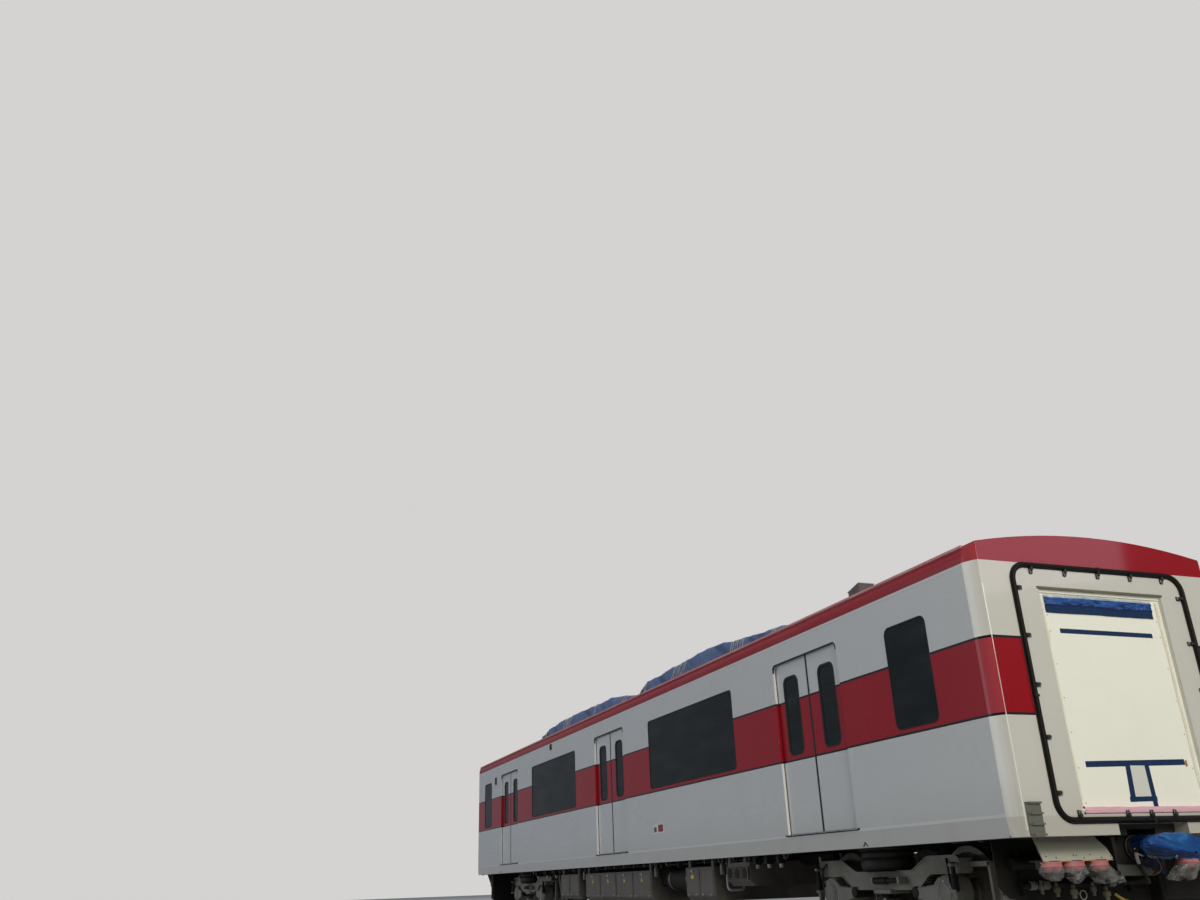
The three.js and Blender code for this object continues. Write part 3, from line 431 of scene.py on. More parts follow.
FINISHES = {
    "wall": coach_paint("coach_paint_walls", SIDE, reveal=0.050),
    "leaf": coach_paint("coach_paint_leaves", LEAF_FACE),
    "end": coach_paint("coach_paint_ends", SIDE, True, 0.050),
    "roof": roof_paint("roof_paint"),
    "floor": vinyl_floor("floor_and_chassis"),
    "glass": dark_glass("tinted_glass", 0.10),
    "rubber": plain("seal_rubber", (0.004, 0.0036, 0.003), 0.60, worn=(0.012, 0.010, 0.008), share=0.4,
                    grain=20, specular_ior_level=0.25),
    "gasket": plain("window_rubber", (0.0045, 0.0045, 0.005), 0.62, worn=(0.014, 0.014, 0.014), share=0.3,
                    grain=30),
    "bellows": plain("air_spring_rubber", (0.006, 0.006, 0.0065), 0.6, worn=(0.030, 0.028, 0.024),
                     low_dust=0.15),
    "wheel": plain("rolled_steel", (0.27, 0.26, 0.235), 0.5, 0.55, (0.11, 0.075, 0.05), 0.7, grain=10,
                   low_dust=0.3),
    "tread": plain("wheel_tread", (0.48, 0.47, 0.45), 0.28, 0.95, (0.25, 0.21, 0.18), 0.4, stretch=(1, 4, 1)),
    "bogie": plain("bogie_paint", (0.30, 0.29, 0.255), 0.60, 0.1, (0.15, 0.145, 0.125), 0.6, low_dust=0.12,
                   specular_ior_level=0.3),
    "case": plain("case_paint", (0.098, 0.083, 0.073), 0.45, worn=(0.140, 0.122, 0.103), share=0.55,
                  low_dust=0.12, coat=0.25),
    # Chassis paint made near-black, darker than the paint itself: painted shade for the parts under the car.
    "dark": plain("dark_chassis_paint", (0.013, 0.0125, 0.011), 0.65, worn=(0.030, 0.027, 0.022), share=0.5,
                  specular_ior_level=0.25),
    "pale_pipe": plain("pale_pipe_paint", (0.52, 0.53, 0.52), 0.4, worn=(0.36, 0.35, 0.32), share=0.6),
    "steel": plain("brushed_stainless", (0.56, 0.56, 0.55), 0.28, 0.95, (0.40, 0.39, 0.37), 0.35,
                   stretch=(1, 6, 6)),
    "zinc": plain("galvanised_steel", (0.42, 0.43, 0.44), 0.42, 0.85, (0.30, 0.31, 0.32), 0.8, grain=60),
    # The gutter is painted pale pink, lighter than the roof red: a painted highlight on its face.
    "gutter": plain("gutter_paint", (0.66, 0.24, 0.24), 0.4, worn=(0.72, 0.42, 0.40), share=0.6),
    "board": plain("transit_board_face", (0.95, 0.95, 0.86), 0.5, worn=(0.87, 0.86, 0.74), share=0.3,
                   grain=6),
    "lintel": plain("olive_primer", (0.125, 0.120, 0.075), 0.6, worn=(0.20, 0.19, 0.13)),
    "sealant": plain("cream_sealant", (0.86, 0.84, 0.70), 0.7, worn=(0.74, 0.70, 0.54), share=0.5, grain=30,
                     pits=0.002),
    "rust": plain("orange_primer", (0.58, 0.27, 0.07), 0.7, worn=(0.36, 0.16, 0.06), share=0.6),
    "tarp": woven_sheet("blue_tarpaulin", (0.125, 0.205, 0.41), (0.30, 0.38, 0.54), (0.030, 0.060, 0.18)),
    "wrap": woven_sheet("blue_wrap", (0.0, 0.048, 0.22), (0.03, 0.25, 0.62), (0.0, 0.006, 0.036),
                        relief=0.024),
    # A darker copy of the wrap for its neck and tail: painted shade.
    "wrap_shade": woven_sheet("blue_wrap_tail", (0.003, 0.014, 0.070), (0.010, 0.050, 0.16),
                              (0.002, 0.005, 0.022)),
    "film": clear_film("blue_film", (0.014, 0.090, 0.34), 0.97, 0.02, (0.002, 0.016, 0.095)),
    "clear_edge": clear_film("clear_film_edge", (0.60, 0.66, 0.67), 0.70, 0.8, (0.16, 0.32, 0.48)),
    "bag": clear_film("clear_bag", (0.30, 0.30, 0.29), 0.16, 0.45, (0.26, 0.26, 0.25)),
    "carrier": plain("coupler_carrier_paint", (0.085, 0.085, 0.075), 0.5, worn=(0.05, 0.05, 0.045),
                     share=0.5),
    "sleeve": plain("hose_sleeve", (0.62, 0.62, 0.58), 0.55, worn=(0.36, 0.35, 0.32), share=0.6, grain=40),
    # Dark maroon for the strips under the pink tape: a painted shadow of its fold.
    "maroon": plain("tape_fold", (0.085, 0.018, 0.040), 0.6, worn=(0.16, 0.06, 0.09), share=0.6, grain=40),
    "navy": marked_tape("navy_tape", (0.004, 0.026, 0.088), (0.014, 0.060, 0.165)),
    "pink": marked_tape("pink_tape", (0.80, 0.47, 0.55), (0.88, 0.72, 0.76)),
    "orange": marked_tape("orange_tape", (0.55, 0.19, 0.05), (0.65, 0.34, 0.14)),
    "pink_cap": plain("pink_cap", (0.50, 0.150, 0.165), 0.35, worn=(0.60, 0.30, 0.30), share=0.5, grain=40,
                      coat=0.4),
    "paper": plain("blank_paper", (0.70, 0.71, 0.66), 0.8, worn=(0.60, 0.60, 0.56), share=0.3, grain=8,
                   pits=0.001),
    "rope": striped("white_rope", (0.78, 0.78, 0.74), (0.50, 0.50, 0.46), 0.016),
    "cord": striped("tie_string", (0.80, 0.80, 0.76), (0.58, 0.58, 0.52), 0.009),
    "yellow": plain("yellow_mark", (0.72, 0.50, 0.03), 0.5, worn=(0.55, 0.42, 0.10)),
    "black": plain("black_mark", (0.012, 0.012, 0.012), 0.45, worn=(0.05, 0.05, 0.05)),
    "lamp": plain("lamp_lens", (0.03, 0.012, 0.010), 0.12, worn=(0.05, 0.03, 0.028), coat=0.8),
    "label": label_face("blank_label"),
    "seat": plain("seat_shell", (0.035, 0.12, 0.30), 0.35, worn=(0.06, 0.16, 0.34), share=0.4, coat=0.3),
    "cushion": plain("seat_cloth", (0.05, 0.16, 0.38), 0.9, worn=(0.03, 0.09, 0.22), grain=50, pits=0.002),
    "tube_light": plain("light_diffuser", (0.80, 0.80, 0.77), 0.4, worn=(0.66, 0.66, 0.62), share=0.3),
    "cream": plain("cream_panel", CREAM, 0.5, worn=(0.50, 0.49, 0.43), share=0.4),
    "copper": plain("braid", (0.33, 0.15, 0.07), 0.45, 0.8, (0.20, 0.10, 0.06)),
}


# Shapes: each gives its points and faces

def blocks(low, high, chamfer=0.004):
    """A box with its edges cut at 45 degrees."""
    cut_off = min(chamfer, *(0.45 * abs(b - a) for a, b in zip(low, high)))
    points = []
    for corner in range(8):
        ends = [high[i] if corner >> i & 1 else low[i] for i in range(3)]
        inner = [high[i] - cut_off if corner >> i & 1 else low[i] + cut_off for i in range(3)]
        points += [tuple(ends[i] if i == flat else inner[i] for i in range(3)) for flat in range(3)]
    faces = [tuple(3 * corner + i for i in range(3)) for corner in range(8)]
    for axis in range(3):
        one, two = (1 << i for i in range(3) if i != axis)
        b, c = (i for i in range(3) if i != axis)
        for side in (0, 1 << axis):
            faces.append(tuple(3 * (side + way) + axis for way in (0, one, one + two, two)))
        for way in (0, one, two, one + two):
            near, far = way, way + (1 << axis)
            faces.append((3 * near + b, 3 * near + c, 3 * far + c, 3 * far + b))
    return points, faces


def ordered(one, two):
    """The low and high corners of the box between two points."""
    return tuple(map(min, one, two)), tuple(map(max, one, two))


def loft(rings, closed=False):
    """A skin through rings of equal point count, capped at both ends unless it closes on itself."""
    count = len(rings[0])
    points = [tuple(point) for ring in rings for point in ring]
    faces = []
    for r in range(len(rings) if closed else len(rings) - 1):
        one, two = r * count, (r + 1) % len(rings) * count
        faces += [(one + i, one + (i + 1) % count, two + (i + 1) % count, two + i) for i in range(count)]
    if not closed:
        faces.append(tuple(range(count)))
        faces.append(tuple(range(len(points) - count, len(points))))
    return points, faces


def rounded(a0, a1, b0, b1, corner, steps=6):
    """Outline of a rectangle with round corners, anticlockwise."""
    points = []
    middles = ((a1 - corner, b0 + corner, -90), (a1 - corner, b1 - corner, 0),
               (a0 + corner, b1 - corner, 90), (a0 + corner, b0 + corner, 180))
    for a, b, start in middles:
        for i in range(steps + 1):
            turn = math.radians(start + 90 * i / steps)
            points.append((a + corner * math.cos(turn), b + corner * math.sin(turn)))
    return points


def mitres(path, closed):
    """At each point of a flat path, the way to its right, longer at the corners."""
    found = []
    count = len(path)
    for i, (a, b) in enumerate(path):
        before = path[i - 1] if closed or i else None
        after = path[(i + 1) % count] if closed or i + 1 < count else None
        ways = []
        for start, stop in ((before, (a, b)), ((a, b), after)):
            if start and stop:
                run = math.hypot(stop[0] - start[0], stop[1] - start[1]) or 1.0
                ways.append(((stop[1] - start[1]) / run, (start[0] - stop[0]) / run))
        u = sum(w[0] for w in ways) / len(ways)
        v = sum(w[1] for w in ways) / len(ways)
        size = max(u * u + v * v, 0.25)
        found.append((u / size, v / size))
    return found


def moulding(path, profile, place, closed=True):
    """A section carried along a flat path; its rows are distance to the right of the path and depth."""
    rings = []
    for (a, b), (u, v) in zip(path, mitres(path, closed)):
        rings.append([place(a + u * out, b + v * out, deep) for out, deep in profile])
    return loft(rings, closed)


def plate(outline, place, front, back, chamfer=0.002):
    """A flat plate from an anticlockwise outline, with small chamfers round both faces."""
    ways = mitres(outline, True)
    sign = 1 if back > front else -1
    rows = ((-chamfer, front), (0, front + sign * chamfer), (0, back - sign * chamfer), (-chamfer, back))
    return loft([[place(a + u * out, b + v * out, deep) for (a, b), (u, v) in zip(outline, ways)]
                 for out, deep in rows])


def bend_round(path, radius, steps=5):
    """A path with its corners turned into arcs."""
    if radius <= 0 or len(path) < 3:
        return [Vector(p) for p in path]
    path = [Vector(p) for p in path]
    made = [path[0]]
    for before, here, after in zip(path, path[1:], path[2:]):
        one, two = before - here, after - here
        reach = min(radius, 0.48 * one.length, 0.48 * two.length)
        start, stop = here + one.normalized() * reach, here + two.normalized() * reach
        for i in range(steps + 1):
            t = i / steps
            made.append(start * (1 - t) ** 2 + here * 2 * t * (1 - t) + stop * t * t)
    made.append(path[-1])
    return made


def tube(path, radius, sides=10, bend=0.0, closed=False):
    """A closed round bar along a path; radius may be one number or one for each given point."""
    line = bend_round(path, bend) if not closed else [Vector(p) for p in path]
    count = len(line)
    sizes = radius if isinstance(radius, (list, tuple)) else [radius] * count
    rings = []
    normal = None
    for i, here in enumerate(line):
        before = line[i - 1] if closed or i else here
        after = line[(i + 1) % count] if closed or i + 1 < count else here
        ahead = (after - before).normalized()
        if normal is None:
            normal = ahead.orthogonal().normalized()
        normal = (normal - ahead * normal.dot(ahead)).normalized()
        other = ahead.cross(normal)
        rings.append([here + sizes[i] * (math.cos(t) * normal + math.sin(t) * other)
                      for t in (2 * math.pi * k / sides for k in range(sides))])
    return loft(rings, closed)


def turned(profile, centre, axis="y", sides=40):
    """A body turned about an axis; profile rows are radius and distance along the axis."""
    unit = {"x": Vector((1, 0, 0)), "y": Vector((0, 1, 0)), "z": Vector((0, 0, 1))}[axis]
    one = unit.orthogonal().normalized()
    two = unit.cross(one)
    centre = Vector(centre)
    points, faces, rows = [], [], []
    for radius, along in profile:
        if radius < 1e-5:
            rows.append([len(points)])
            points.append(tuple(centre + unit * along))
            continue
        rows.append(list(range(len(points), len(points) + sides)))
        for k in range(sides):
            t = 2 * math.pi * k / sides
            points.append(tuple(centre + unit * along + radius * (math.cos(t) * one + math.sin(t) * two)))
    for row, following in zip(rows, rows[1:]):
        for k in range(sides):
            n = (k + 1) % sides
            face = [row[k % len(row)], row[n % len(row)], following[n % len(following)],
                    following[k % len(following)]]
            face = list(dict.fromkeys(face))
            if len(face) > 2:
                faces.append(tuple(face))
    for row in (rows[0], rows[-1]):
        if len(row) > 1:
            faces.append(tuple(row))
    return points, faces


def smooth_line(points, count):
    """Points at equal spacing along a smooth curve through the given ones."""
    given = [Vector(p) for p in points]
    padded = [given[0] * 2 - given[1], *given, given[-1] * 2 - given[-2]]
    fine = []
    for p, q, r, s in zip(padded, padded[1:], padded[2:], padded[3:]):
        for i in range(12):
            t = i / 12
            fine.append(0.5 * (2 * q + (r - p) * t + (2 * p - 5 * q + 4 * r - s) * t * t
                               + (3 * q - p - 3 * r + s) * t ** 3))
    fine.append(given[-1])
    return spaced(fine, count)


def spaced(line, count):
    """The same line with its points at equal spacing."""
    runs = [0.0]
    for one, two in zip(line, line[1:]):
        runs.append(runs[-1] + (two - one).length)
    made = []
    k = 0
    for i in range(count):
        want = runs[-1] * i / (count - 1)
        while k + 2 < len(runs) and runs[k + 1] < want:
            k += 1
        share = (want - runs[k]) / max(runs[k + 1] - runs[k], 1e-9)
        made.append(line[k].lerp(line[k + 1], min(1.0, share)))
    return made


def circle(count, start=0.0):
    """Angles at equal steps round a circle, the first one start steps on."""
    return [2 * math.pi * (k + start) / count for k in range(count)]


def clamped(value):
    """The value kept between 0 and 1."""
    return max(0.0, min(1.0, value))


def ripple(x, y, z):
    """Smooth noise between -1 and 1 at a point."""
    return noise.noise(Vector((x, y, z)))


# Pieces

def linked(name, data):
    """A new object in the scene that holds the data."""
    made = bpy.data.objects.new(name, data)
    bpy.context.scene.collection.objects.link(made)
    return made


def finished(mesh, name, body, slot, sharp=38.0):
    """Links a mesh as a piece that rides on a body, smooth but for its sharp edges."""
    mesh.name = name
    mesh.polygons.foreach_set("use_smooth", [True] * len(mesh.polygons))
    if sharp:
        mesh.set_sharp_from_angle(angle=math.radians(sharp))
    piece = linked(name, mesh)
    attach(piece, body)
    return piece


def outward(mesh, merge=False):
    """Turns every face outwards, after doubles are merged if that is asked for."""
    shape = bmesh.new()
    shape.from_mesh(mesh)
    if merge:
        bmesh.ops.remove_doubles(shape, verts=shape.verts, dist=1e-5)
    bmesh.ops.recalc_face_normals(shape, faces=shape.faces)
    shape.to_mesh(mesh)
    shape.free()


class Piece:
    """Gathers shapes in their finishes, then makes one piece of them.

    Way -1 turns every shape half round about the vertical, and shift moves it along the car. What box, bar
    and spun are given lies in the quarter ahead on the left, and flip says in which quarter it is made.
    """

    def __init__(self, name, body="carbody", slot="equipment_grey", way=1, shift=0):
        self.name, self.body, self.slot = name, body, slot
        self.way, self.shift, self.flip = way, shift, (1, 1)
        self.points, self.faces, self.marks, self.finishes = [], [], [], []

    def add(self, finish, shape):
        points, faces = shape
        base = len(self.points)
        self.points += [(self.way * x + self.shift, self.way * y, z) for x, y, z in points]
        self.faces += [tuple(base + i for i in face) for face in faces]
        if finish not in self.finishes:
            self.finishes.append(finish)
        self.marks += [self.finishes.index(finish)] * len(faces)

    def placed(self, point):
        return self.flip[0] * point[0], self.flip[1] * point[1], point[2]

    def box(self, finish, one, two, chamfer=0.004):
        """A block between any two opposite corners."""
        self.add(finish, blocks(*ordered(self.placed(one), self.placed(two)), chamfer))

    def bar(self, finish, path, radius, sides=10, bend=0.0, closed=False):
        self.add(finish, tube([self.placed(point) for point in path], radius, sides, bend, closed))

    def spun(self, finish, profile, centre, axis="y", sides=40, capped=True):
        """A turned body, closed on its axis at both ends if capped."""
        sign = {"x": self.flip[0], "y": self.flip[1], "z": 1}[axis]
        rows = [(radius, sign * along) for radius, along in profile]
        if capped:
            rows = [(0.0, rows[0][1]), *rows, (0.0, rows[-1][1])]
        self.add(finish, turned(rows, self.placed(centre), axis, sides))

    def panel(self, finish, sides, corner, place, front, back, chamfer=0.002):
        """A plate with round corners; sides are its two ends, its bottom and its top."""
        self.add(finish, plate(rounded(*sides, corner), place, front, back, chamfer))

    def make(self, sharp=38.0, merge=False):
        mesh = bpy.data.meshes.new(self.name)
        mesh.from_pydata(self.points, [], self.faces)
        for finish in self.finishes:
            mesh.materials.append(FINISHES[finish])
        mesh.polygons.foreach_set("material_index", self.marks)
        outward(mesh, merge)
        return finished(mesh, self.name, self.body, self.slot, sharp)


def corner_plan(x):
    """Half width of the car's end at x, where the flank turns in towards the end wall."""
    t = (0.2 - math.sqrt(max(0.0, 0.04 - 0.2 * (abs(x) - BODY_END)))) / 0.1
    return SIDE - 0.04 * t - 0.03 * t * t


def turned_corner(shape):
    """Puts an end wall's corners on the smooth plan, and rounds its front edges."""
    for vertex in shape.verts:
        if abs(vertex.co.x) > BODY_END + 0.001:
            vertex.co.y = math.copysign(min(abs(vertex.co.y), corner_plan(vertex.co.x)), vertex.co.y)
    bmesh.ops.remove_doubles(shape, verts=shape.verts, dist=0.0008)
    front, shoulder, flank, top_flank = END - 0.0005, 3.245, 1.355, 1.2
    edges = [edge for edge in shape.edges if abs(edge.verts[0].co.z - edge.verts[1].co.z) > 0.02 and all(
        abs(v.co.x) > front and abs(v.co.y) > (flank if v.co.z < shoulder else top_flank)
        for v in edge.verts)]
    bmesh.ops.bevel(shape, geom=edges, offset=0.010, segments=4, profile=0.5, affect="EDGES",
                    clamp_overlap=True)


def eased(node, finish, width=0.003, sharp=30.0):
    """The node's own shape with its edges eased and its curves smooth, in place of the node."""
    shape = bmesh.new()
    shape.from_mesh(frame["nodes"][node].data)
    bmesh.ops.remove_doubles(shape, verts=shape.verts, dist=1e-5)
    bmesh.ops.dissolve_limit(shape, angle_limit=math.radians(0.2), verts=shape.verts, edges=shape.edges)
    if node.startswith("end_wall"):
        turned_corner(shape)
    mesh = bpy.data.meshes.new(node + "_eased")
    shape.to_mesh(mesh)
    shape.free()
    mesh.materials.append(FINISHES[finish])
    mesh.polygons.foreach_set("use_smooth", [True] * len(mesh.polygons))
    piece = linked(node + "_eased", mesh)
    bevel = piece.modifiers.new("ease", "BEVEL")
    bevel.width = width
    bevel.segments = 2
    bevel.limit_method = "ANGLE"
    bevel.angle_limit = math.radians(sharp)
    bevel.use_clamp_overlap = True
    weighted = piece.modifiers.new("weigh", "WEIGHTED_NORMAL")
    weighted.mode = "FACE_AREA"
    weighted.weight = 100
    slots = {row["node"]: row.get("material_slot") for row in frame["record"].get("subparts", [])}
    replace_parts(finished(plain_mesh(piece), node + "_eased", "carbody", slots[node], 0), node)


def plain_mesh(piece):
    """The piece's mesh with its modifiers worked out; the piece itself goes."""
    bpy.context.view_layer.update()
    graph = bpy.context.evaluated_depsgraph_get()
    mesh = bpy.data.meshes.new_from_object(piece.evaluated_get(graph), depsgraph=graph)
    piece.modifiers.clear()
    bpy.data.objects.remove(piece)
    return mesh


# Repeats

class Repeat(Tree):
    """A Geometry Nodes tree with named inputs; each run leaves a plain mesh."""

    def __init__(self, name, **inputs):
        super().__init__(bpy.data.node_groups.new(name, "GeometryNodeTree"))
        face = self.nodes.interface
        face.new_socket("Geometry", in_out="INPUT", socket_type="NodeSocketGeometry")
        self.keys = {}
        for key, kind in {**inputs, "Finish": "Material"}.items():
            self.keys[key] = face.new_socket(key, in_out="INPUT", socket_type="NodeSocket" + kind).identifier
        face.new_socket("Geometry", in_out="OUTPUT", socket_type="NodeSocketGeometry")
        self.given = self.node("NodeGroupInput").outputs

    def aimed(self):
        """The turn that takes Z to each point's aim and X to its along."""
        aim, along = (self.node("GeometryNodeInputNamedAttribute", {"data_type": "FLOAT_VECTOR"},
                                {0: name}).outputs[0] for name in ("aim", "along"))
        upright = self.node("FunctionNodeAlignRotationToVector", {"axis": "Z"}, {2: aim})
        return self.node("FunctionNodeAlignRotationToVector", {"axis": "X", "pivot_axis": "Z"},
                         {0: upright.outputs[0], 2: along}).outputs[0]

    def set_on(self, points, shape, turn=None):
        """The shape on every point, turned to its aim, then made real and painted."""
        copies = self.node("GeometryNodeInstanceOnPoints", None,
                           {"Points": points, "Instance": shape, "Rotation": turn or self.aimed()})
        real = self.node("GeometryNodeRealizeInstances", None, {0: copies.outputs[0]})
        painted = self.node("GeometryNodeSetMaterial", None,
                            {"Geometry": real.outputs[0], "Material": self.given["Finish"]})
        self.node("NodeGroupOutput", None, {0: painted.outputs[0]})
        return self

    def run(self, name, spots, finish, body="carbody", slot="equipment_grey", sharp=38.0, **values):
        """Spots are rows of a place, an aim and, if it matters, the way along."""
        mesh = bpy.data.meshes.new(name)
        mesh.from_pydata([spot[0] for spot in spots], [], [])
        for k, key in ((1, "aim"), (2, "along")):
            rows = [spot[k] if len(spot) > k else (0, 0, 1) for spot in spots]
            written = mesh.attributes.new(key, "FLOAT_VECTOR", "POINT")
            written.data.foreach_set("vector", sum(map(list, rows), []))
        holder = linked(name, mesh)
        modifier = holder.modifiers.new(name, "NODES")
        modifier.node_group = self.nodes
        modifier[self.keys["Finish"]] = FINISHES[finish]
        for key, value in values.items():
            modifier[self.keys[key]] = value
        made = plain_mesh(holder)
        for key in ("aim", "along"):
            if key in made.attributes:
                made.attributes.remove(made.attributes[key])
        return finished(made, name, body, slot, sharp)


def bolt_tree():
    """Six-sided heads on their washers."""
    tree = Repeat("bolt_heads", Radius="Float", Height="Float")
    radius = tree.given["Radius"]
    head = tree.node("GeometryNodeMeshCone", None, {
        "Vertices": 6, "Radius Top": radius, "Radius Bottom": radius, "Depth": tree.given["Height"]})
    washer = tree.node("GeometryNodeMeshCone", None, {
        "Vertices": 14, "Radius Top": 1.0, "Radius Bottom": 1.15, "Depth": 0.2})
    wide = tree.node("ShaderNodeCombineXYZ", None, {0: radius, 1: radius, 2: radius})
    for scale in (wide.outputs[0], (1.35, 1.35, 1.0)):
        washer = tree.node("GeometryNodeTransform", None, {"Geometry": washer.outputs[0], "Scale": scale})
    both = tree.node("GeometryNodeJoinGeometry")
    for part in (head, washer):
        tree.nodes.links.new(part.outputs[0], both.inputs[0])
    return tree.set_on(tree.given["Geometry"], both.outputs[0])


def slat_tree():
    """Rows of leaned blades: one row starts at each point."""
    tree = Repeat("slats", Count="Int", Step="Vector", Size="Vector", Lean="Vector")
    row = tree.node("GeometryNodeMeshLine", {"mode": "OFFSET"}, {
        "Count": tree.given["Count"], "Offset": tree.given["Step"]})
    rows = tree.node("GeometryNodeInstanceOnPoints", None, {
        "Points": tree.given["Geometry"], "Instance": row.outputs[0]})
    real = tree.node("GeometryNodeRealizeInstances", None, {0: rows.outputs[0]})
    blade = tree.node("GeometryNodeMeshCube", None, {"Size": tree.given["Size"]})
    turn = tree.node("FunctionNodeEulerToRotation", None, {0: tree.given["Lean"]})
    return tree.set_on(real.outputs[0], blade.outputs[0], turn.outputs[0])


def coil_tree():
    """Coil springs standing on the points."""
    tree = Repeat("coils", Turns="Float", Radius="Float", Height="Float", Wire="Float")
    line = tree.node("GeometryNodeCurveSpiral", None, {
        "Resolution": 20, "Rotations": tree.given["Turns"], "Start Radius": tree.given["Radius"],
        "End Radius": tree.given["Radius"], "Height": tree.given["Height"]})
    wire = tree.node("GeometryNodeCurvePrimitiveCircle", None,
                     {"Resolution": 8, "Radius": tree.given["Wire"]})
    coil = tree.node("GeometryNodeCurveToMesh", None, {
        "Curve": line.outputs[0], "Profile Curve": wire.outputs[0], "Fill Caps": True})
    return tree.set_on(tree.given["Geometry"], coil.outputs[0])


def copy_tree():
    """Copies of a given shape on the points."""
    tree = Repeat("copies", Shape="Object")
    shape = tree.node("GeometryNodeObjectInfo", None, {0: tree.given["Shape"]})
    return tree.set_on(tree.given["Geometry"], shape.outputs["Geometry"])


BOLTS, SLATS, COILS, COPIES = bolt_tree(), slat_tree(), coil_tree(), copy_tree()


def copied(name, shapes, spots, finish, **rest):
    """One shape made about the origin, then set on every spot."""
    points, faces = [], []
    for given_points, given_faces in shapes:
        faces += [tuple(len(points) + i for i in face) for face in given_faces]
        points += given_points
    mesh = bpy.data.meshes.new(name + "_shape")
    mesh.from_pydata(points, [], faces)
    outward(mesh)
    shape = linked(name + "_shape", mesh)
    COPIES.run(name, spots, finish, Shape=shape, **rest)
    bpy.data.objects.remove(shape)


def on_side(sign, face=SIDE):
    """Place on a side from distance along the car, height, and depth inwards."""
    return lambda a, b, deep: (a, sign * (face - deep), b)


def at_end(way):
    """Place on an end from distance across, height, and depth inwards."""
    return lambda a, b, deep: (way * (END - deep), way * a, b)


def across(x):
    """Place on a plane across the car at x, from distance across, height, and depth back from it."""
    return lambda a, b, deep: (x - deep, a, b)


# Shell

def shell():
    """The walls, ends and roof with eased edges, and a finish for every other solid."""
    for side in SIDES:
        for end in ENDS:
            eased(f"side_wall_{end}_{side}", "wall", 0.0025)
    for end in ENDS:
        eased(f"end_wall_{end}", "end", 0.0012)
    eased("roof_shell", "roof", 0.004)
    kinds = {"window": "glass", "door": "leaf", "underframe": "floor", "gangway_board": "board",
             "bench": "seat", "wheelset": "wheel", "bogie": "bogie"}
    for name, node in frame["nodes"].items():
        found = [finish for start, finish in kinds.items() if name.startswith(start)]
        node.data.materials.clear()
        node.data.materials.append(FINISHES[found[0] if found else "case"])


def window_trim(side, sign):
    """Rubber round every pane, and the bar across each large one."""
    trim = Piece(f"window_rubber_{side}", slot="seal_rubber")
    place = on_side(sign)
    outer = ((0.0055, 0.0), (0.0045, -0.0022), (-0.001, -0.0030), (-0.006, 0.0010), (-0.009, 0.0035),
             (-0.009, 0.0058), (0.0, 0.0058))
    inner = ((-0.002, 0.022), (-0.030, 0.022), (-0.030, 0.030), (-0.004, 0.034))
    for middle, half, corner in WINDOWS:
        line = rounded(middle - half, middle + half, WINDOW_LOW, WINDOW_HIGH, corner, 8)
        for section in (outer, inner):
            trim.add("gasket", moulding(line, section, place))
        if half > 1:
            trim.box("steel", place(middle - half + 0.02, 2.520, 0.022),
                     place(middle + half - 0.02, 2.546, 0.034), 0.003)
    trim.make()


def door_trim(side, sign):
    """Header lip, jamb rubber, sill strips and tread plate of each doorway."""
    place = on_side(sign)
    trim = Piece(f"door_trim_{side}", slot="seal_rubber")
    corner, lip_foot = 0.060, DOOR_HEAD - 0.09
    lip = ((0.003, -0.0004), (0.002, -0.0022), (-0.0145, -0.0022), (-0.0160, 0.002), (-0.0160, 0.012),
           (-0.001, 0.014))
    strips = (("steel", 0.750, 1.0815, 1.0905, 0.002, -0.014, 0.002),
              ("gasket", 0.750, 1.0715, 1.0817, 0.002, -0.012, 0.002),
              ("steel", 0.70, 1.0898, 1.0918, 0.001, 0.034, 0.0005),
              ("steel", 0.70, 1.0995, 1.1025, 0.101, 0.20, 0.001))
    for middle in DOORS:
        arc = [(math.cos(math.radians(t)), math.sin(math.radians(t))) for t in range(0, 91, 15)]
        right = [(middle + DOOR_HALF - corner + corner * c, DOOR_HEAD - corner + corner * s) for c, s in arc]
        left = [(2 * middle - a, b) for a, b in reversed(right)]
        head = [(middle + DOOR_HALF, lip_foot), *right, *left, (middle - DOOR_HALF, lip_foot)]
        trim.add("gasket", moulding(head, lip, place, closed=False))
        for way in SIGNS:
            jamb = middle + way * DOOR_HALF
            trim.box("gasket", place(jamb - way * 0.0045, DOOR_SILL + 0.002, 0.0335),
                     place(jamb + way * 0.001, lip_foot, 0.0385), 0.0015)
            trim.box("gasket", place(middle + way * 0.748, 1.079, 0.002),
                     place(middle + way * 0.764, 1.0925, -0.015), 0.002)
        for finish, half, low, high, front, back, chamfer in strips:
            trim.box(finish, place(middle - half, low, front), place(middle + half, high, back), chamfer)
    trim.make()


def leaf_trim(number, side, sign, name, way):
    """Pane, its rubber and the nose rubber of one leaf."""
    middle = DOORS[number - 1]
    place = on_side(sign, LEAF_FACE)
    trim = Piece(f"door_{number}_{side}_{name}_trim", f"door_{number}_{side}_{name}", "seal_rubber")
    start, stop = sorted((middle + way * 0.232, middle + way * 0.555))
    line = rounded(start, stop, 1.958, 2.843, 0.080, 7)
    for front, back, out in ((0.0, 0.013, -1), (0.030, 0.018, 1)):
        section = ((0.014, front), (0.012, front + out * 0.0022), (-0.004, front + out * 0.0028),
                   (-0.018, back + out * 0.004), (-0.018, back), (0.0, back))
        trim.add("gasket", moulding(line, section, place))
    pane = rounded(start + 0.003, stop - 0.003, 1.961, 2.840, 0.077, 7)
    trim.add("glass", plate(pane, place, 0.0125, 0.0185, 0.0005))
    trim.box("gasket", place(middle + way * 0.0006, 1.0985, -0.0022),
             place(middle + way * 0.018, 3.068, 0.0322), 0.0018)
    trim.box("steel", place(middle + way * 0.03, 1.105, 0.030), place(middle + way * 0.70, 1.36, 0.0315),
             0.0004)
    trim.make()


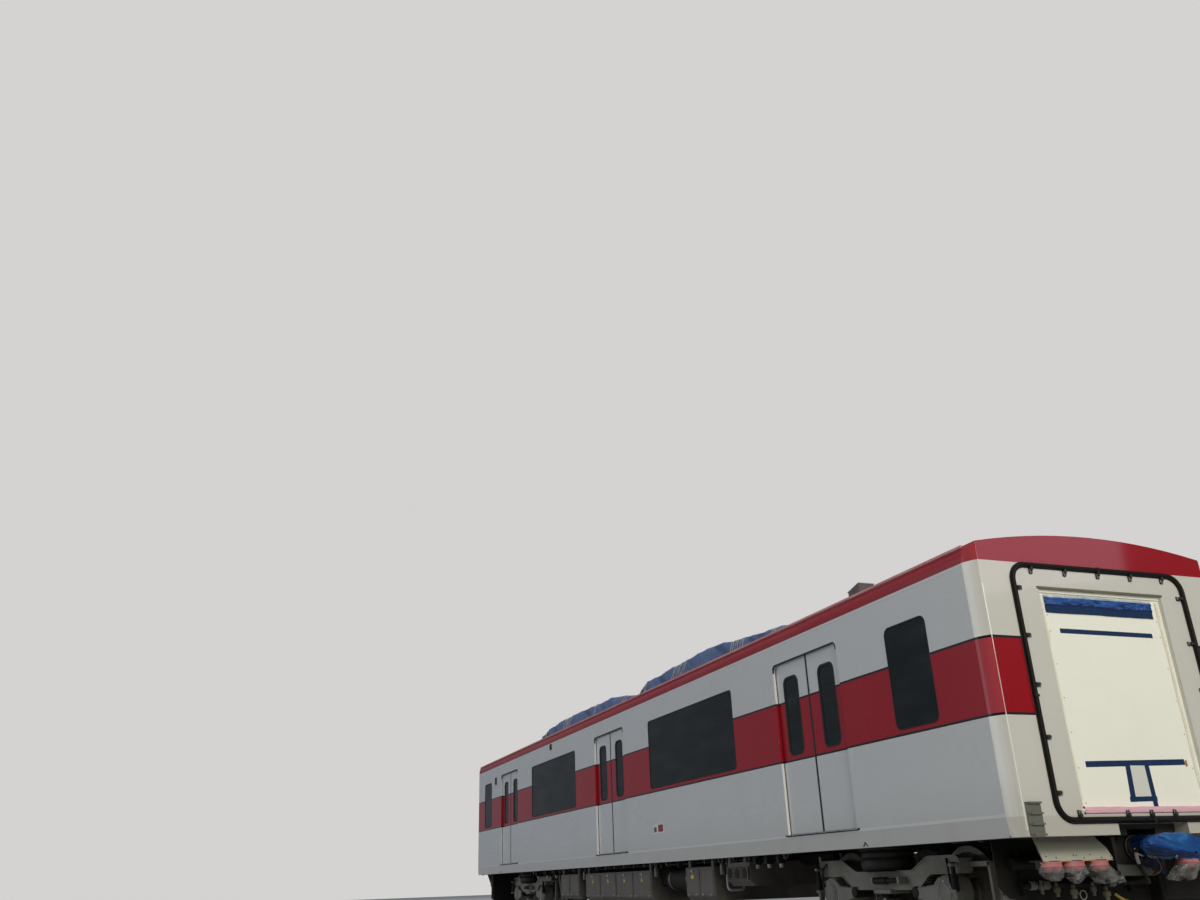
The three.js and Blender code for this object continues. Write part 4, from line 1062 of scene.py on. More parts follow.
def side_fittings(side, sign):
    """Gutter, lamps, a blank label and the small marks along the sill."""
    fit = Piece(f"side_fittings_{side}", slot="body_paint")
    gutter = ((1.384, 3.4350), (1.402, 3.4190), (1.409, 3.4230), (1.410, 3.4290), (1.403, 3.4340),
              (1.400, 3.4480), (1.396, 3.4490), (1.393, 3.4400), (1.380, 3.4480))
    # The gutter takes the pale pink painted highlight.
    fit.add("gutter", loft([[(x, sign * y, z) for y, z in gutter] for x in (-BODY_END, BODY_END)]))
    place = on_side(sign)
    for x, low, high in ((sign * 3.33, 3.135, 3.250), (sign * 7.82, 2.860, 3.030)):
        fit.panel("black", (x - 0.028, x + 0.028, low, high), 0.020, place, -0.030, 0.002, 0.005)
        fit.panel("lamp", (x - 0.017, x + 0.017, low + 0.016, high - 0.016), 0.014, place, -0.036, -0.028,
                  0.004)
    x = -sign * 2.065
    fit.panel("label", (x - 0.205, x + 0.205, 1.300, 1.432), 0.006, place, -0.0012, 0.001, 0.0004)
    for x in (-7.45, 7.45):
        arrow = [(x + a, 0.912 + b) for a, b in (
            (-0.048, 0), (-0.028, 0), (0, 0.030), (0.036, 0), (0.046, 0), (0.004, 0.046), (-0.006, 0.046))]
        fit.add("black", plate(arrow, on_side(sign, SIDE - 0.0148), -0.0040, 0.003, 0.0003))
    for x in (-9.2, -5.05, -1.9, 1.9, 5.05, 9.2):
        fit.box("dark", (x - 0.03, sign * 1.385, 0.882), (x + 0.03, sign * 1.408, UNDERSIDE + 0.0005), 0.003)
    fit.make()


# Ends

def end_frame(end, way):
    """The rubber frame round the gangway and its clips."""
    place = at_end(way)
    seal = Piece(f"gangway_rubber_{end}", slot="seal_rubber")
    section = ((-0.0190, -0.0004), (-0.0188, -0.0055), (-0.0140, -0.0080), (-0.0115, -0.0200),
               (-0.0060, -0.0310), (0.0030, -0.0368), (0.0100, -0.0379), (0.0170, -0.0368),
               (0.0255, -0.0305), (0.0300, -0.0200), (0.0320, -0.0080), (0.0370, -0.0055), (0.0372, -0.0004))
    line = rounded(-1.0075, 1.0075, 1.0275, 3.2425, 0.1525, 10)
    seal.add("rubber", moulding(line, section, place))
    for a, b, wide, high in ((0.0, 3.2515, 0.011, 0.025), (0.0, 1.0185, 0.011, 0.025),
                             (-1.0165, 2.05, 0.025, 0.011), (1.0165, 2.05, 0.025, 0.011)):
        seal.panel("gasket", (a - wide, a + wide, b - high, b + high), 0.004, place, -0.0384, -0.010, 0.001)
    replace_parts(seal.make(), f"gangway_seal_{end}")
    spots = [(a, 3.212, 0, -1) for a in (-0.79, -0.395, 0.0, 0.395, 0.79)]
    spots += [(a, 1.058, 0, 1) for a in (-0.79, -0.265, 0.0, 0.265, 0.79)]
    spots += [(side * 0.972, b, -side, 0) for side in SIGNS for b in (3.03, 2.59, 2.15, 1.70, 1.24)]
    rows = [(place(a, b, 0.0), (way, 0, 0), (0, way * u, v)) for a, b, u, v in spots]
    clip = [blocks((-0.022, -0.020, 0.0), (0.044, 0.020, 0.007), 0.002),
            blocks((-0.024, -0.013, 0.005), (0.016, 0.013, 0.034), 0.004)]
    copied(f"gangway_clips_{end}", clip, rows, "black")
    bow = [(0.004, -0.013, 0.014), (0.036, -0.013, 0.018), (0.036, 0.013, 0.018), (0.004, 0.013, 0.014)]
    latch = [tube(bow, 0.0035, 6, 0.006), blocks((0.014, -0.006, 0.006), (0.040, 0.006, 0.012), 0.002)]
    copied(f"gangway_latches_{end}", latch, rows, "zinc")


def sealant(pack, place):
    """Two uneven runs of sealant down the sides of the board, laid in short strokes."""
    rng = random.Random(11)
    low, high, strokes = 1.118, 2.985, 27
    step = (high - low) / strokes
    for side, a, wide in ((-1, -0.704, 0.040), (1, 0.690, 0.034)):
        for k in range(strokes):
            b = low + (high - low) * k / strokes
            middle = a + 0.003 * math.sin(k * 0.7 + side) + side * -0.00002 * k
            half = wide * (0.85 + 0.25 * rng.random()) / 2
            outline = [(middle - half, b), (middle + half, b + 0.003 * rng.random()),
                       (middle + half - 0.004 * rng.random(), b + step * 0.985),
                       (middle - half + 0.004 * rng.random(), b + step * 0.99)]
            front = BOARD_FACE - 0.007 - 0.003 * rng.random()
            pack.add("sealant", plate(outline, place, front, BOARD_FACE, 0.0018))


def packed_doorway(end, way):
    """What closes the doorway for the journey: lintel, sealant, film, tapes and a blank paper."""
    place = at_end(way)
    pack = Piece(f"doorway_packing_{end}", slot="transit_board")
    pack.panel("lintel", (-0.752, 0.752, 3.034, 3.056), 0.003, place, -0.008, 0.004)
    pack.panel("board", (-0.738, 0.738, 3.006, 3.038), 0.002, place, 0.024, BOARD_FACE)
    pack.panel("board", (-0.752, 0.752, 1.098, 1.1125), 0.003, place, -0.004, 0.036)
    sealant(pack, place)
    for finish, a0, a1, b0, b1, lift, proud in (
            ("navy", -0.545, 0.560, 2.636, 2.680, 0.0, 0.0012),
            ("navy", -0.572, 0.575, 1.467, 1.518, 0.012, 0.0012),
            ("orange", 0.575, 0.604, 1.4655, 1.5195, 0.004, 0.0022)):
        outline = [(a0, b0 - lift), (a1, b0 + lift), (a1 - 0.002, b1 + lift), (a0 + 0.002, b1 - lift)]
        pack.add(finish, plate(outline, place, BOARD_FACE - proud, BOARD_FACE, 0.0003))
    for finish, outline, proud in (
            ("navy", ((-0.151, 1.166), (-0.090, 1.166), (-0.076, 1.480), (-0.129, 1.480)), 0.0022),
            ("navy", ((0.094, 1.110), (0.146, 1.115), (0.140, 1.480), (0.090, 1.480)), 0.0024),
            ("navy", ((-0.158, 1.208), (0.152, 1.212), (0.150, 1.172), (-0.160, 1.166)), 0.0026),
            ("paper", ((-0.082, 1.205), (0.094, 1.205), (0.098, 1.472), (-0.076, 1.472)), 0.0014)):
        pack.add(finish, plate(outline, place, BOARD_FACE - proud, BOARD_FACE, 0.0003))
    section = ((1.126, 0.0385), (1.122, -0.0040), (1.104, -0.0062), (1.088, -0.0046), (1.076, -0.0022),
               (1.076, -0.0034), (1.088, -0.0060), (1.104, -0.0076), (1.1235, -0.0054), (1.127, 0.0370))
    ribbon = []
    for a in (-0.718 + 1.360 * k / 68 for k in range(69)):
        wave = 0.0035 * ripple(a * 5, 0.2, way) + 0.002 * ripple(a * 17, 1.2, way)
        ribbon.append([place(a, b + wave * (1.4 if b > 1.11 else 1.0), deep - wave * 0.6)
                       for b, deep in section])
    pack.add("pink", loft(ribbon))
    # Maroon strips under the pink tape and by its left end: painted shadow of the tape's fold.
    for sides in ((-0.712, 0.600, 1.0715, 1.0775), (-0.735, -0.715, 1.112, 1.130),
                  (-0.735, -0.712, 1.068, 1.084)):
        pack.panel("maroon", sides, 0.002, place, -0.0040, 0.0, 0.0008)
    pack.make()
    edge = [(side * 0.655, b) for side in SIGNS for b in (1.16, 1.45, 1.75, 2.05, 2.35, 2.65, 2.80)]
    BOLTS.run(f"board_screws_{end}", [(place(a, b, 0.040), (way, 0, 0)) for a, b in edge], "zinc",
              slot="transit_board", Radius=0.004, Height=0.003)
    film_sheet(end, way)


def net(rows, columns, spot):
    """Rows of points on a sheet, and for each a shade value, deeper in a fold, that the finishes paint as
    shade, from a function of row and column.
    """
    spots = [[spot(i, k) for k in range(columns)] for i in range(rows)]
    return [[point for point, _ in row] for row in spots], [[deep for _, deep in row] for row in spots]


def film_sheet(end, way):
    """Blue film taped along the top of the board: crumpled above, folded over a flat lower band."""
    place = at_end(way)
    rows, columns = 25, 181

    def spot(i, k):
        a = -0.665 + 1.285 * i / (columns - 1)
        t = k / (rows - 1)
        drape = 0.010 * ripple(a * 2.1, 0.4, way) * (1 if 0.35 < t < 0.6 else 0.4)
        b = 2.823 + 0.170 * t + drape + 0.004 * ripple(a * 6, t * 2, way)
        loose = clamped((t - 0.40) / 0.12) * clamped((1.04 - t) / 0.25)
        waves = ripple(a * 5, t * 3.5 - a * 1.2, 3.1 * way) + 0.7 * ripple(a * 13 + t * 3, t * 9, 1.7)
        ridge = 1 - abs(ripple(a * 9 - t * 4, t * 7, 5.5 * way)) * 4
        fold = math.exp(-((t - 0.43 - 0.05 * ripple(a * 3, 0.5, 7.0)) / 0.045) ** 2)
        lift = 0.010 * loose * max(0.0, 0.6 + 0.6 * waves) + 0.006 * loose * max(0.0, ridge) + 0.008 * fold
        # The second value is painted shade: darker along the fold line and in the hollows of the loose film.
        return place(a, b, 0.0385 - 0.004 - lift), clamped(0.5 - 0.7 * waves * loose + 0.9 * fold)

    rings, depths = net(columns, rows, spot)
    mesh, _ = net_mesh(rings, False, ("film", "navy", "clear_edge"), depths)
    kinds = [1 if k < 9 else 2 if k > 20 else 0 for _ in range(columns - 1) for k in range(rows - 1)]
    mesh.polygons.foreach_set("material_index", kinds)
    made = finished(thickened(mesh, 0.0012), f"film_strip_{end}", "carbody", "transit_board", 60)


def thickened(mesh, thick):
    """The sheet's mesh with a thickness, closed at its rim."""
    holder = linked("holder", mesh)
    solid = holder.modifiers.new("thick", "SOLIDIFY")
    solid.thickness = thick
    solid.offset = 0
    made = plain_mesh(holder)
    outward(made)
    return made


def net_mesh(rings, closed, finishes, depths):
    """A mesh over rows of points, and the row and column of each corner of its faces."""
    count = len(rings[0])
    faces, places = [], []
    for r in range(len(rings) - 1):
        for k in range(count if closed else count - 1):
            n = (k + 1) % count
            faces.append((r * count + k, (r + 1) * count + k, (r + 1) * count + n, r * count + n))
            places += [(r, k), (r + 1, k), (r + 1, k + 1), (r, k + 1)]
    mesh = bpy.data.meshes.new("sheet")
    mesh.from_pydata([tuple(p) for ring in rings for p in ring], [], faces)
    for finish in finishes:
        mesh.materials.append(FINISHES[finish])
    mesh.attributes.new("fold", "FLOAT", "POINT").data.foreach_set("value", sum(depths, []))
    return mesh, places


def crumpled(name, rings, depths, finish, thick=0.002, closed=True, uv_size=None):
    """A sheet from rows of points; its UV is in metres, from its flat size or else from how it lies."""
    mesh, places = net_mesh(rings, closed, (finish,), depths)
    across_count = len(rings[0]) if closed else len(rings[0]) - 1
    uv = mesh.uv_layers.new(name="cloth")
    for spot, loop, (r, k) in zip(uv.data, mesh.loops, places):
        if uv_size:
            spot.uv = (uv_size[0] * r / (len(rings) - 1), uv_size[1] * k / across_count)
        else:
            x, y, z = mesh.vertices[loop.vertex_index].co
            spot.uv = (y + 0.35 * abs(x), z + 0.8 * abs(x))
    return finished(thickened(mesh, thick), name, "carbody", "tarpaulin", 70)


def creased(t, along, seed):
    """How far gathered sheet stands out, in folds that fan from its neck, and the painted shade it takes,
    more in the folds and on its underside.
    """
    c, s = math.cos(t), math.sin(t)
    fan = 1 - min(1.0, 3.0 * abs(ripple(c * 2.3 + seed, s * 2.3, along * 1.5)))
    cross = 1 - min(1.0, 3.4 * abs(ripple(c * 2.0 + along * 4.0, s * 2.0 + seed, along * 5.5)))
    swell = ripple(c * 1.1, s * 1.1 + seed, along * 2.0)
    fine = ripple(c * 6.5, s * 6.5, along * 15 + seed)
    rise = fan * fan + 0.55 * cross * cross + 0.8 * swell + 0.15 * fine - 0.45
    return rise, clamped(0.52 - 0.50 * rise - 0.28 * s)


# Distance along the car, half width, bottom and top of the wrapped coupler head
WRAP = ((9.658, 0.092, 0.716, 0.884), (9.700, 0.125, 0.702, 0.894), (9.755, 0.200, 0.702, 0.898),
        (9.82, 0.300, 0.700, 0.904), (9.885, 0.362, 0.700, 0.906), (9.945, 0.340, 0.707, 0.901),
        (9.982, 0.245, 0.724, 0.876), (9.996, 0.12, 0.757, 0.842), (9.998, 0.02, 0.790, 0.804))


def drawbar(end, way):
    """The drawbar behind the coupler head, with its flange and bolts."""
    bar = Piece(f"drawbar_{end}", slot="wheel_steel", way=way)
    bar.spun("wheel", [(0.132, 9.331), (0.135, 9.334), (0.135, 9.370), (0.131, 9.375), (0.100, 9.377),
                       (0.090, 9.392), (0.076, 9.400), (0.075, 9.62), (0.082, 9.625), (0.082, 9.66),
                       (0.075, 9.665), (0.075, 9.79)], (0, 0, COUPLER_UP), "x", 36)
    bar.box("wheel", (9.782, -0.129, 0.721), (9.958, 0.129, 0.879), 0.012)
    bar.bar("steel", [(9.62, -0.02, 0.728), (9.62, -0.117, 0.745), (9.60, -0.117, 0.790)], 0.012, 8, 0.02)
    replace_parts(bar.make(), f"coupler_{end}")
    spots = [((way * 9.3755, way * 0.112 * math.cos(t), COUPLER_UP + 0.112 * math.sin(t)), (way, 0, 0))
             for t in circle(8, 0.5)]
    BOLTS.run(f"drawbar_bolts_{end}", spots, "zinc", Radius=0.013, Height=0.012)


def wrapped_coupler(end, way):
    """The blue wrap lashed round the coupler head, its neck and its hanging tail."""
    head_rows, head_sides = 60, 120
    stations = smooth_line([(x, half, low) for x, half, low, _ in WRAP], head_rows)
    tops = smooth_line([(x, 0, high) for x, _, _, high in WRAP], head_rows)

    def on_head(i, k):
        x, half, low = stations[i]
        high = tops[i].z
        slide = clamped((x - 9.93) / 0.068) ** 2
        middle = Vector((x, 0.13 * slide, (low + high) / 2 - 0.055 * slide))
        neck = clamped((9.80 - x) / 0.12)
        t = 2 * math.pi * k / head_sides
        c, s = math.cos(t), math.sin(t)
        upright = 1.32 - 0.62 * neck + 0.7 * (1 - neck) * max(0.0, c)
        out = Vector((0, half * math.copysign(abs(c) ** (0.85 - 0.15 * neck), c),
                      (high - low) / 2 * math.copysign(abs(s) ** upright, s)))
        pull = 0.10 * math.exp(-((x - 9.716) / 0.010) ** 2)
        gather = 0.05 * neck * math.sin(11 * t + 2 * ripple(x * 9, c, s))
        p = middle + out * (0.93 - pull + gather)
        rise, deep = creased(t, (x - 9.66) / 0.34, 3.1)
        if out.length > 1e-6:
            p += out.normalized() * 0.017 * rise * min(1.0, out.length / 0.08)
        p.x = min(p.x + 0.010 * rise * (1 - neck) * min(1.0, (10.004 - x) / 0.03), 9.999)
        # The neck's gathers take more painted shade.
        return (way * p.x, way * p.y, p.z), min(1.0, deep + 0.3 * neck * (0.5 - 0.5 * math.sin(11 * t)))

    rings, depths = net(head_rows, head_sides, on_head)
    wrap = crumpled(f"coupler_wrap_{end}", rings, depths, "wrap")
    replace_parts(wrap, f"coupler_cover_{end}")

    neck_steps, neck_sides = 16, 72

    def on_neck(i, k):
        x = 9.552 + 0.118 * i / neck_steps
        t = 2 * math.pi * k / neck_sides
        c, s = math.cos(t), math.sin(t)
        fold = math.sin(9 * t + 14 * (x - 9.55) + 3 * ripple(x * 8, c, s))
        out = 0.0885 + 0.0075 * fold + 0.012 * abs(x - 9.62) / 0.06
        return (way * x, way * out * c, COUPLER_UP + out * s), 0.55 - 0.45 * fold

    # The neck and the tail take the darker copy of the wrap: painted shade.
    sleeve = crumpled(f"coupler_wrap_neck_{end}", *net(neck_steps + 1, neck_sides, on_neck), "wrap_shade")

    tail_drop, tail_width = 24, 40

    def on_tail(i, k):
        t, u = i / tail_drop, k / tail_width
        fold = math.sin(u * 13 + 1.5 * t) * (0.4 + 0.6 * t)
        p = (9.604 + 0.012 * fold, -0.100 + 0.250 * u + 0.055 * (1 - u) * t,
             0.770 - (0.105 + 0.075 * u + 0.02 * math.sin(u * 9)) * t)
        return (way * p[0], way * p[1], p[2]), 0.55 - 0.45 * fold

    flap = crumpled(f"coupler_wrap_tail_{end}", *net(tail_drop + 1, tail_width + 1, on_tail), "wrap_shade",
                    closed=False, uv_size=(0.19, 0.26))
    wrap_string(end, way, rings, [station.x for station in stations])


def wrap_string(end, way, rings, stations):
    """The string lashed round the neck of the wrap and slung over it, and a loop of copper braid."""
    tie = Piece(f"wrap_string_{end}", slot="tarpaulin")
    for x in (9.712, 9.720):
        near = min(range(len(rings)), key=lambda i: abs(stations[i] - x))
        ring = [Vector(p) for p in rings[near]]
        middle = sum(ring, Vector()) / len(ring)
        tie.bar("cord", [p + (p - middle).normalized() * 0.0045 for p in ring[::4]], 0.0032, 6, closed=True)
    seam = []
    sides = len(rings[0])
    for k in range(0, 48, 3):
        i = 14 + int(k * 0.62)
        j = int(68 + 36 * math.sin(min(1.0, k / 12) * math.pi / 2) - 0.8 * max(0, k - 12)) % sides
        p, q = Vector(rings[i][j]), Vector(rings[i][(j + sides // 2) % sides])
        seam.append(p + (p - q).normalized() * 0.004)
    tie.bar("cord", smooth_line(seam, 60), 0.0034, 6)
    tie.way = way
    tie.bar("copper", smooth_line([(9.700, -0.005, 0.705), (9.704, 0.020, 0.655), (9.697, 0.020, 0.612),
                                   (9.660, -0.005, 0.580), (9.600, -0.040, 0.572)], 28), 0.004, 6)
    tie.make()


def cable_sockets(end, way):
    """Bolts, primed edge, pink caps and clear bags of the six cable sockets under the end."""
    face = 9.5997
    fit = Piece(f"socket_fittings_{end}", slot="frame_grey", way=way)
    sockets = [(side, y) for side in SIGNS for y in SOCKETS_Y]
    for side in SIGNS:
        fit.box("rust", (face - 0.020, side * 0.380, 0.7030), (face + 0.003, side * 1.117, 0.7115), 0.001)
    cap = [(0.0, 0.706), (0.076, 0.706), (0.080, 0.702), (0.0815, 0.672), (0.079, 0.662), (0.074, 0.638),
           (0.064, 0.626), (0.040, 0.620), (0.0, 0.619)]
    rows = [("dark", [(0.0, 0.712), (0.072, 0.712), (0.0735, 0.704), (0.070, 0.690), (0.0, 0.690)], 28, 1.30),
            ("pink_cap", cap, 32, 1.28)]
    for z, out in ((0.697, 0.0805), (0.668, 0.0815)):
        grip = [(out, z + 0.006), (out + 0.0035, z + 0.004), (out + 0.0035, z - 0.004), (out, z - 0.006)]
        rows.append(("pink_cap", grip, 32, 1.28))
    for side, y in sockets:
        fit.flip = (1, side)
        spot = (SOCKET_X, side * y, 0)
        for finish, profile, sides, share in rows:
            fit.add(finish, widened(turned(profile, spot, "z", sides), spot, share))
        fit.bar("gasket", [(9.50, y, 0.712), (9.49, y, 0.76), (9.44, y, 0.80), (9.40, y - 0.05, 0.86),
                           (9.36, y - 0.05, 0.915)], 0.022, 8, 0.05)
    fit.make()
    spots = [((way * face, way * side * y, z), (way, 0, 0)) for side in SIGNS for y, z in (
        (1.09, 0.748), (0.985, 0.736), (0.80, 0.752), (0.77, 0.748), (0.62, 0.752), (0.69, 0.728),
        (0.50, 0.728), (0.40, 0.735), (1.14, 0.885), (0.90, 0.89), (0.62, 0.89))]
    BOLTS.run(f"socket_bolts_{end}", spots, "black", Radius=0.0042, Height=0.004)
    rng = random.Random(5 if way > 0 else 6)
    # How low a bag hangs, its lean, how far it comes to a point and how far it spreads
    drops = ((0.560, 0.020, 0.60, 0.00), (0.528, 0.004, 0.90, 0.00), (0.535, 0.060, 0.15, 0.13))
    for k, (side, y) in enumerate(sockets):
        seed = rng.random() * 20
        rings, depths = net(BAG_STEPS + 1, BAG_SIDES, bag_spot(way, side, y, seed, *drops[k % 3]))
        bag = crumpled(f"socket_bag_{end}_{k + 1}", rings, depths, "bag", 0.0009, uv_size=(0.17, 0.60))


BAG_STEPS, BAG_SIDES = 28, 48
BAG_TOP = 0.660


def bag_spot(way, side, y, seed, low, lean, point, spread):
    """A clear bag over one cap, from its gathered top down to its bottom, as a function for net."""
    def spot(i, j):
        t = i / BAG_STEPS
        narrow = max(1 - point * max(0.0, t - 0.35) ** 1.2 * 1.5, 0.04)
        narrow *= 1 - 0.9 * max(0.0, t - 0.94) / 0.06
        turn = 2 * math.pi * j / BAG_SIDES
        c, s = math.cos(turn), math.sin(turn)
        fold = math.sin(turn * 5 + seed + 2.5 * ripple(c, s, t * 3 + seed))
        z = BAG_TOP + (low - BAG_TOP) * t
        crease = 1 + t * (0.16 * fold + 0.35 * ripple(c * 1.8 + seed, s * 1.8, z * 11))
        wide = 0.117 * narrow * crease + spread * t * max(0.0, s)
        place = (way * (SOCKET_X + 0.0885 * narrow * crease * c * (1 - 0.3 * t)),
                 way * (side * (y - lean * t - s * wide)), z + 0.02 * t * fold * (1 - point))
        return place, clamped(0.5 - 0.5 * fold)
    return spot


def widened(shape, centre, share):
    """A shape made wider across the car about a centre."""
    points, faces = shape
    return [(x, centre[1] + (y - centre[1]) * share, z) for x, y, z in points], faces


def end_pipes(end, way):
    """Coupler carrier, brake pipe, cocks and the equipment that shows round the coupler, with a dark sheet
    and box behind as painted shade.
    """
    pipes = Piece(f"end_pipes_{end}", slot="frame_grey", way=way)
    coupler = (0, 0, COUPLER_UP)
    pipes.box("dark", (9.300, -0.345, 0.585), (9.462, 0.345, 0.9), 0.012)
    pipes.spun("dark", [(0.076, 9.462), (0.098, 9.462), (0.103, 9.467), (0.103, 9.484), (0.099, 9.489),
                        (0.088, 9.490), (0.076, 9.490)], coupler, "x", 40, capped=False)
    pipes.bar("zinc", [(9.491, 0.100 * math.cos(t), COUPLER_UP + 0.100 * math.sin(t)) for t in circle(40)],
              0.0025, 6, closed=True)
    carrier = [(-0.330, 0.575), (0.030, 0.575), (0.065, 0.600), (0.010, 0.655), (-0.330, 0.668)]
    pipes.add("carrier", plate(carrier, across(9.585), 0.0, 0.022, 0.004))
    pipes.bar("dark", [(9.580, -0.90, 0.600), (9.580, -0.32, 0.600)], 0.018)
    for y in (-0.560, -0.300):
        pipes.box("dark", (9.500, y - 0.02, 0.570), (9.566, y + 0.02, 0.905))
    # The dark sheet, its ribs and the dark box beside it fill the deep shadow behind the coupler: dark masses
    # as painted shade.
    sheet = [(-1.18, 0.895), (-1.18, 0.52), (-1.08, 0.42), (-0.55, 0.36), (-0.50, 0.30), (1.14, 0.30),
             (1.18, 0.34), (1.18, 0.895)]
    pipes.add("dark", plate(sheet, across(9.060), 0.0, 0.012))
    for y in (-0.95, -0.55, -0.15, 0.25):
        pipes.box("dark", (9.058, y - 0.008, 0.44), (9.110, y + 0.008, 0.895), 0.002)
    pipes.box("dark", (9.060, 0.505, 0.350), (9.205, 1.190, 0.895), 0.012)
    pipes.panel("dark", (0.545, 1.150, 0.390, 0.860), 0.02, across(9.205), -0.006, 0.002)
    pipes.bar("dark", [(9.10, -1.05, 0.70), (9.13, -0.60, 0.70), (9.13, 0.40, 0.70)], 0.055, 16)
    pipes.bar("dark", [(9.11, -0.98, 0.52), (9.11, 0.46, 0.52)], 0.030, 12)
    for y in (-0.86, -0.72, 0.02):
        pipes.spun("bogie", [(0.034, -0.035), (0.038, -0.030), (0.038, 0.030), (0.034, 0.035)],
                   (9.11, y, 0.52), "y", 14)
    pipes.bar("yellow", [(9.14, 0.01, 0.425), (9.17, 0.04, 0.390), (9.17, 0.09, 0.365), (9.15, 0.14, 0.360)],
              0.013, 8, 0.02)
    for y, z, wide, finish in ((-0.70, 0.475, 0.030, "lintel"), (-0.52, 0.455, 0.036, "lintel"),
                               (-0.30, 0.470, 0.028, "case"), (-0.16, 0.430, 0.034, "lintel"),
                               (-0.86, 0.500, 0.026, "case")):
        pipes.spun(finish, [(wide * 0.6, -0.05), (wide * 0.6, -0.02), (wide, -0.018), (wide, 0.022),
                            (wide * 0.5, 0.026), (wide * 0.5, 0.06)], (9.22, y, z), "z", 12)
        pipes.bar("dark", [(9.22, y, z), (9.19, y + 0.05, z + 0.02), (9.12, y + 0.06, z + 0.08)], 0.009, 6,
                  0.03)
    ring = [(9.262, -0.46 + 0.036 * math.cos(t), 0.432 + 0.036 * math.sin(t)) for t in circle(18)]
    pipes.bar("pale_pipe", ring, 0.0042, 6, closed=True)
    pipes.box("carrier", (9.655, -0.365, 0.990), (9.690, 0.365, 1.004), 0.003)
    pipes.bar("dark", [(8.95, -0.33, 0.86), (9.02, -0.33, 0.60), (9.20, -0.33, 0.60), (9.56, -0.33, 0.60)],
              0.017, 10, 0.05)
    for side in SIGNS:
        pipes.flip = (1, side)
        pipes.bar("dark", [(9.40, 0.42, 0.78), (8.95, 0.42, 0.78), (8.80, 0.50, 0.83), (8.2, 0.50, 0.83)],
                  0.020, 8, 0.08)
    pipes.make()


# The middle line of the brake hose, from the coupler head down
HOSE_LINE = ((9.690, -0.117, 0.800), (9.672, -0.121, 0.799), (9.653, -0.124, 0.794), (9.636, -0.126, 0.784),
             (9.622, -0.126, 0.770), (9.612, -0.124, 0.752), (9.605, -0.120, 0.732), (9.600, -0.114, 0.710),
             (9.597, -0.106, 0.686), (9.595, -0.098, 0.662), (9.598, -0.090, 0.636), (9.603, -0.080, 0.610),
             (9.606, -0.070, 0.584), (9.606, -0.060, 0.560), (9.603, -0.052, 0.540))
HOSE_RADIUS = 0.013


def brake_hose(end, way):
    """The hose from the coupler head down behind the carrier bar, its pale sleeve and its lower fitting."""
    line = [Vector((way * x, way * y, z)) for x, y, z in smooth_line(HOSE_LINE, 34)]
    hose = Piece(f"brake_hose_{end}", slot="seal_rubber")
    hose.bar("gasket", line, HOSE_RADIUS, 14)
    made = hose.make()
    fittings = Piece(f"hose_fittings_{end}", slot="frame_grey")
    fittings.bar("sleeve", line[9:20], HOSE_RADIUS + 0.002, 16)
    step = (line[-1] - line[-2]).normalized()
    fittings.bar("dark", [line[-1] - step * 0.020, line[-1] + step * 0.030], 0.021, 16)
    fittings.bar("dark", [line[-1] + step * 0.010, (way * 9.575, way * -0.045, 0.575)], 0.008, 8)
    fitting = fittings.make()


# Roof

# Distance along the car, half width at the foot, half width on top and height of each cover
TARPS = {
    "front": ((0.09, 0.930, 0.820, 3.640), (0.43, 0.980, 0.930, 3.745), (0.80, 1.000, 0.950, 3.797),
              (1.98, 1.005, 0.950, 3.828), (2.98, 1.010, 0.950, 3.860), (3.50, 1.010, 0.950, 3.853),
              (4.27, 1.000, 0.950, 3.764), (5.38, 0.990, 0.930, 3.702), (5.64, 0.930, 0.820, 3.640)),
    "rear": ((-5.76, 0.930, 0.820, 3.650), (-5.56, 0.980, 0.930, 3.735), (-4.91, 1.000, 0.950, 3.800),
             (-4.085, 1.010, 0.950, 3.832), (-2.83, 1.010, 0.950, 3.838), (-1.55, 1.005, 0.950, 3.819),
             (-1.107, 1.000, 0.950, 3.822), (-0.54, 0.990, 0.940, 3.772), (-0.01, 0.930, 0.820, 3.680))}
TARP_SEEDS = {"front": 0.7, "rear": 4.9}
# Distance along the car and lean of each lashing
TIES = {
    "front": ((0.62, 0.10), (1.88, 0.22), (2.06, 0.20), (2.24, 0.24), (3.98, 0.12), (4.12, 0.10),
              (4.28, 0.12), (5.20, 0.10)),
    "rear": ((-5.30, 0.12), (-3.86, 0.20), (-3.70, 0.18), (-3.52, 0.20), (-1.95, 0.16), (-0.45, 0.1))}


def roof_height(y):
    """Height of the roof's outer face at a distance from the middle of the car."""
    return ROOF_TOP - ROOF_RADIUS + math.sqrt(ROOF_RADIUS ** 2 - y * y)


def tarp_row(rows, x):
    """Half width at the foot, half width on top and height of the cover at x."""
    if x <= rows[0][0]:
        return rows[0][1:]
    for one, two in zip(rows, rows[1:]):
        if x <= two[0]:
            t = (x - one[0]) / (two[0] - one[0])
            t = t * t * (3 - 2 * t)
            return [p + (q - p) * t for p, q in zip(one[1:], two[1:])]
    return rows[-1][1:]


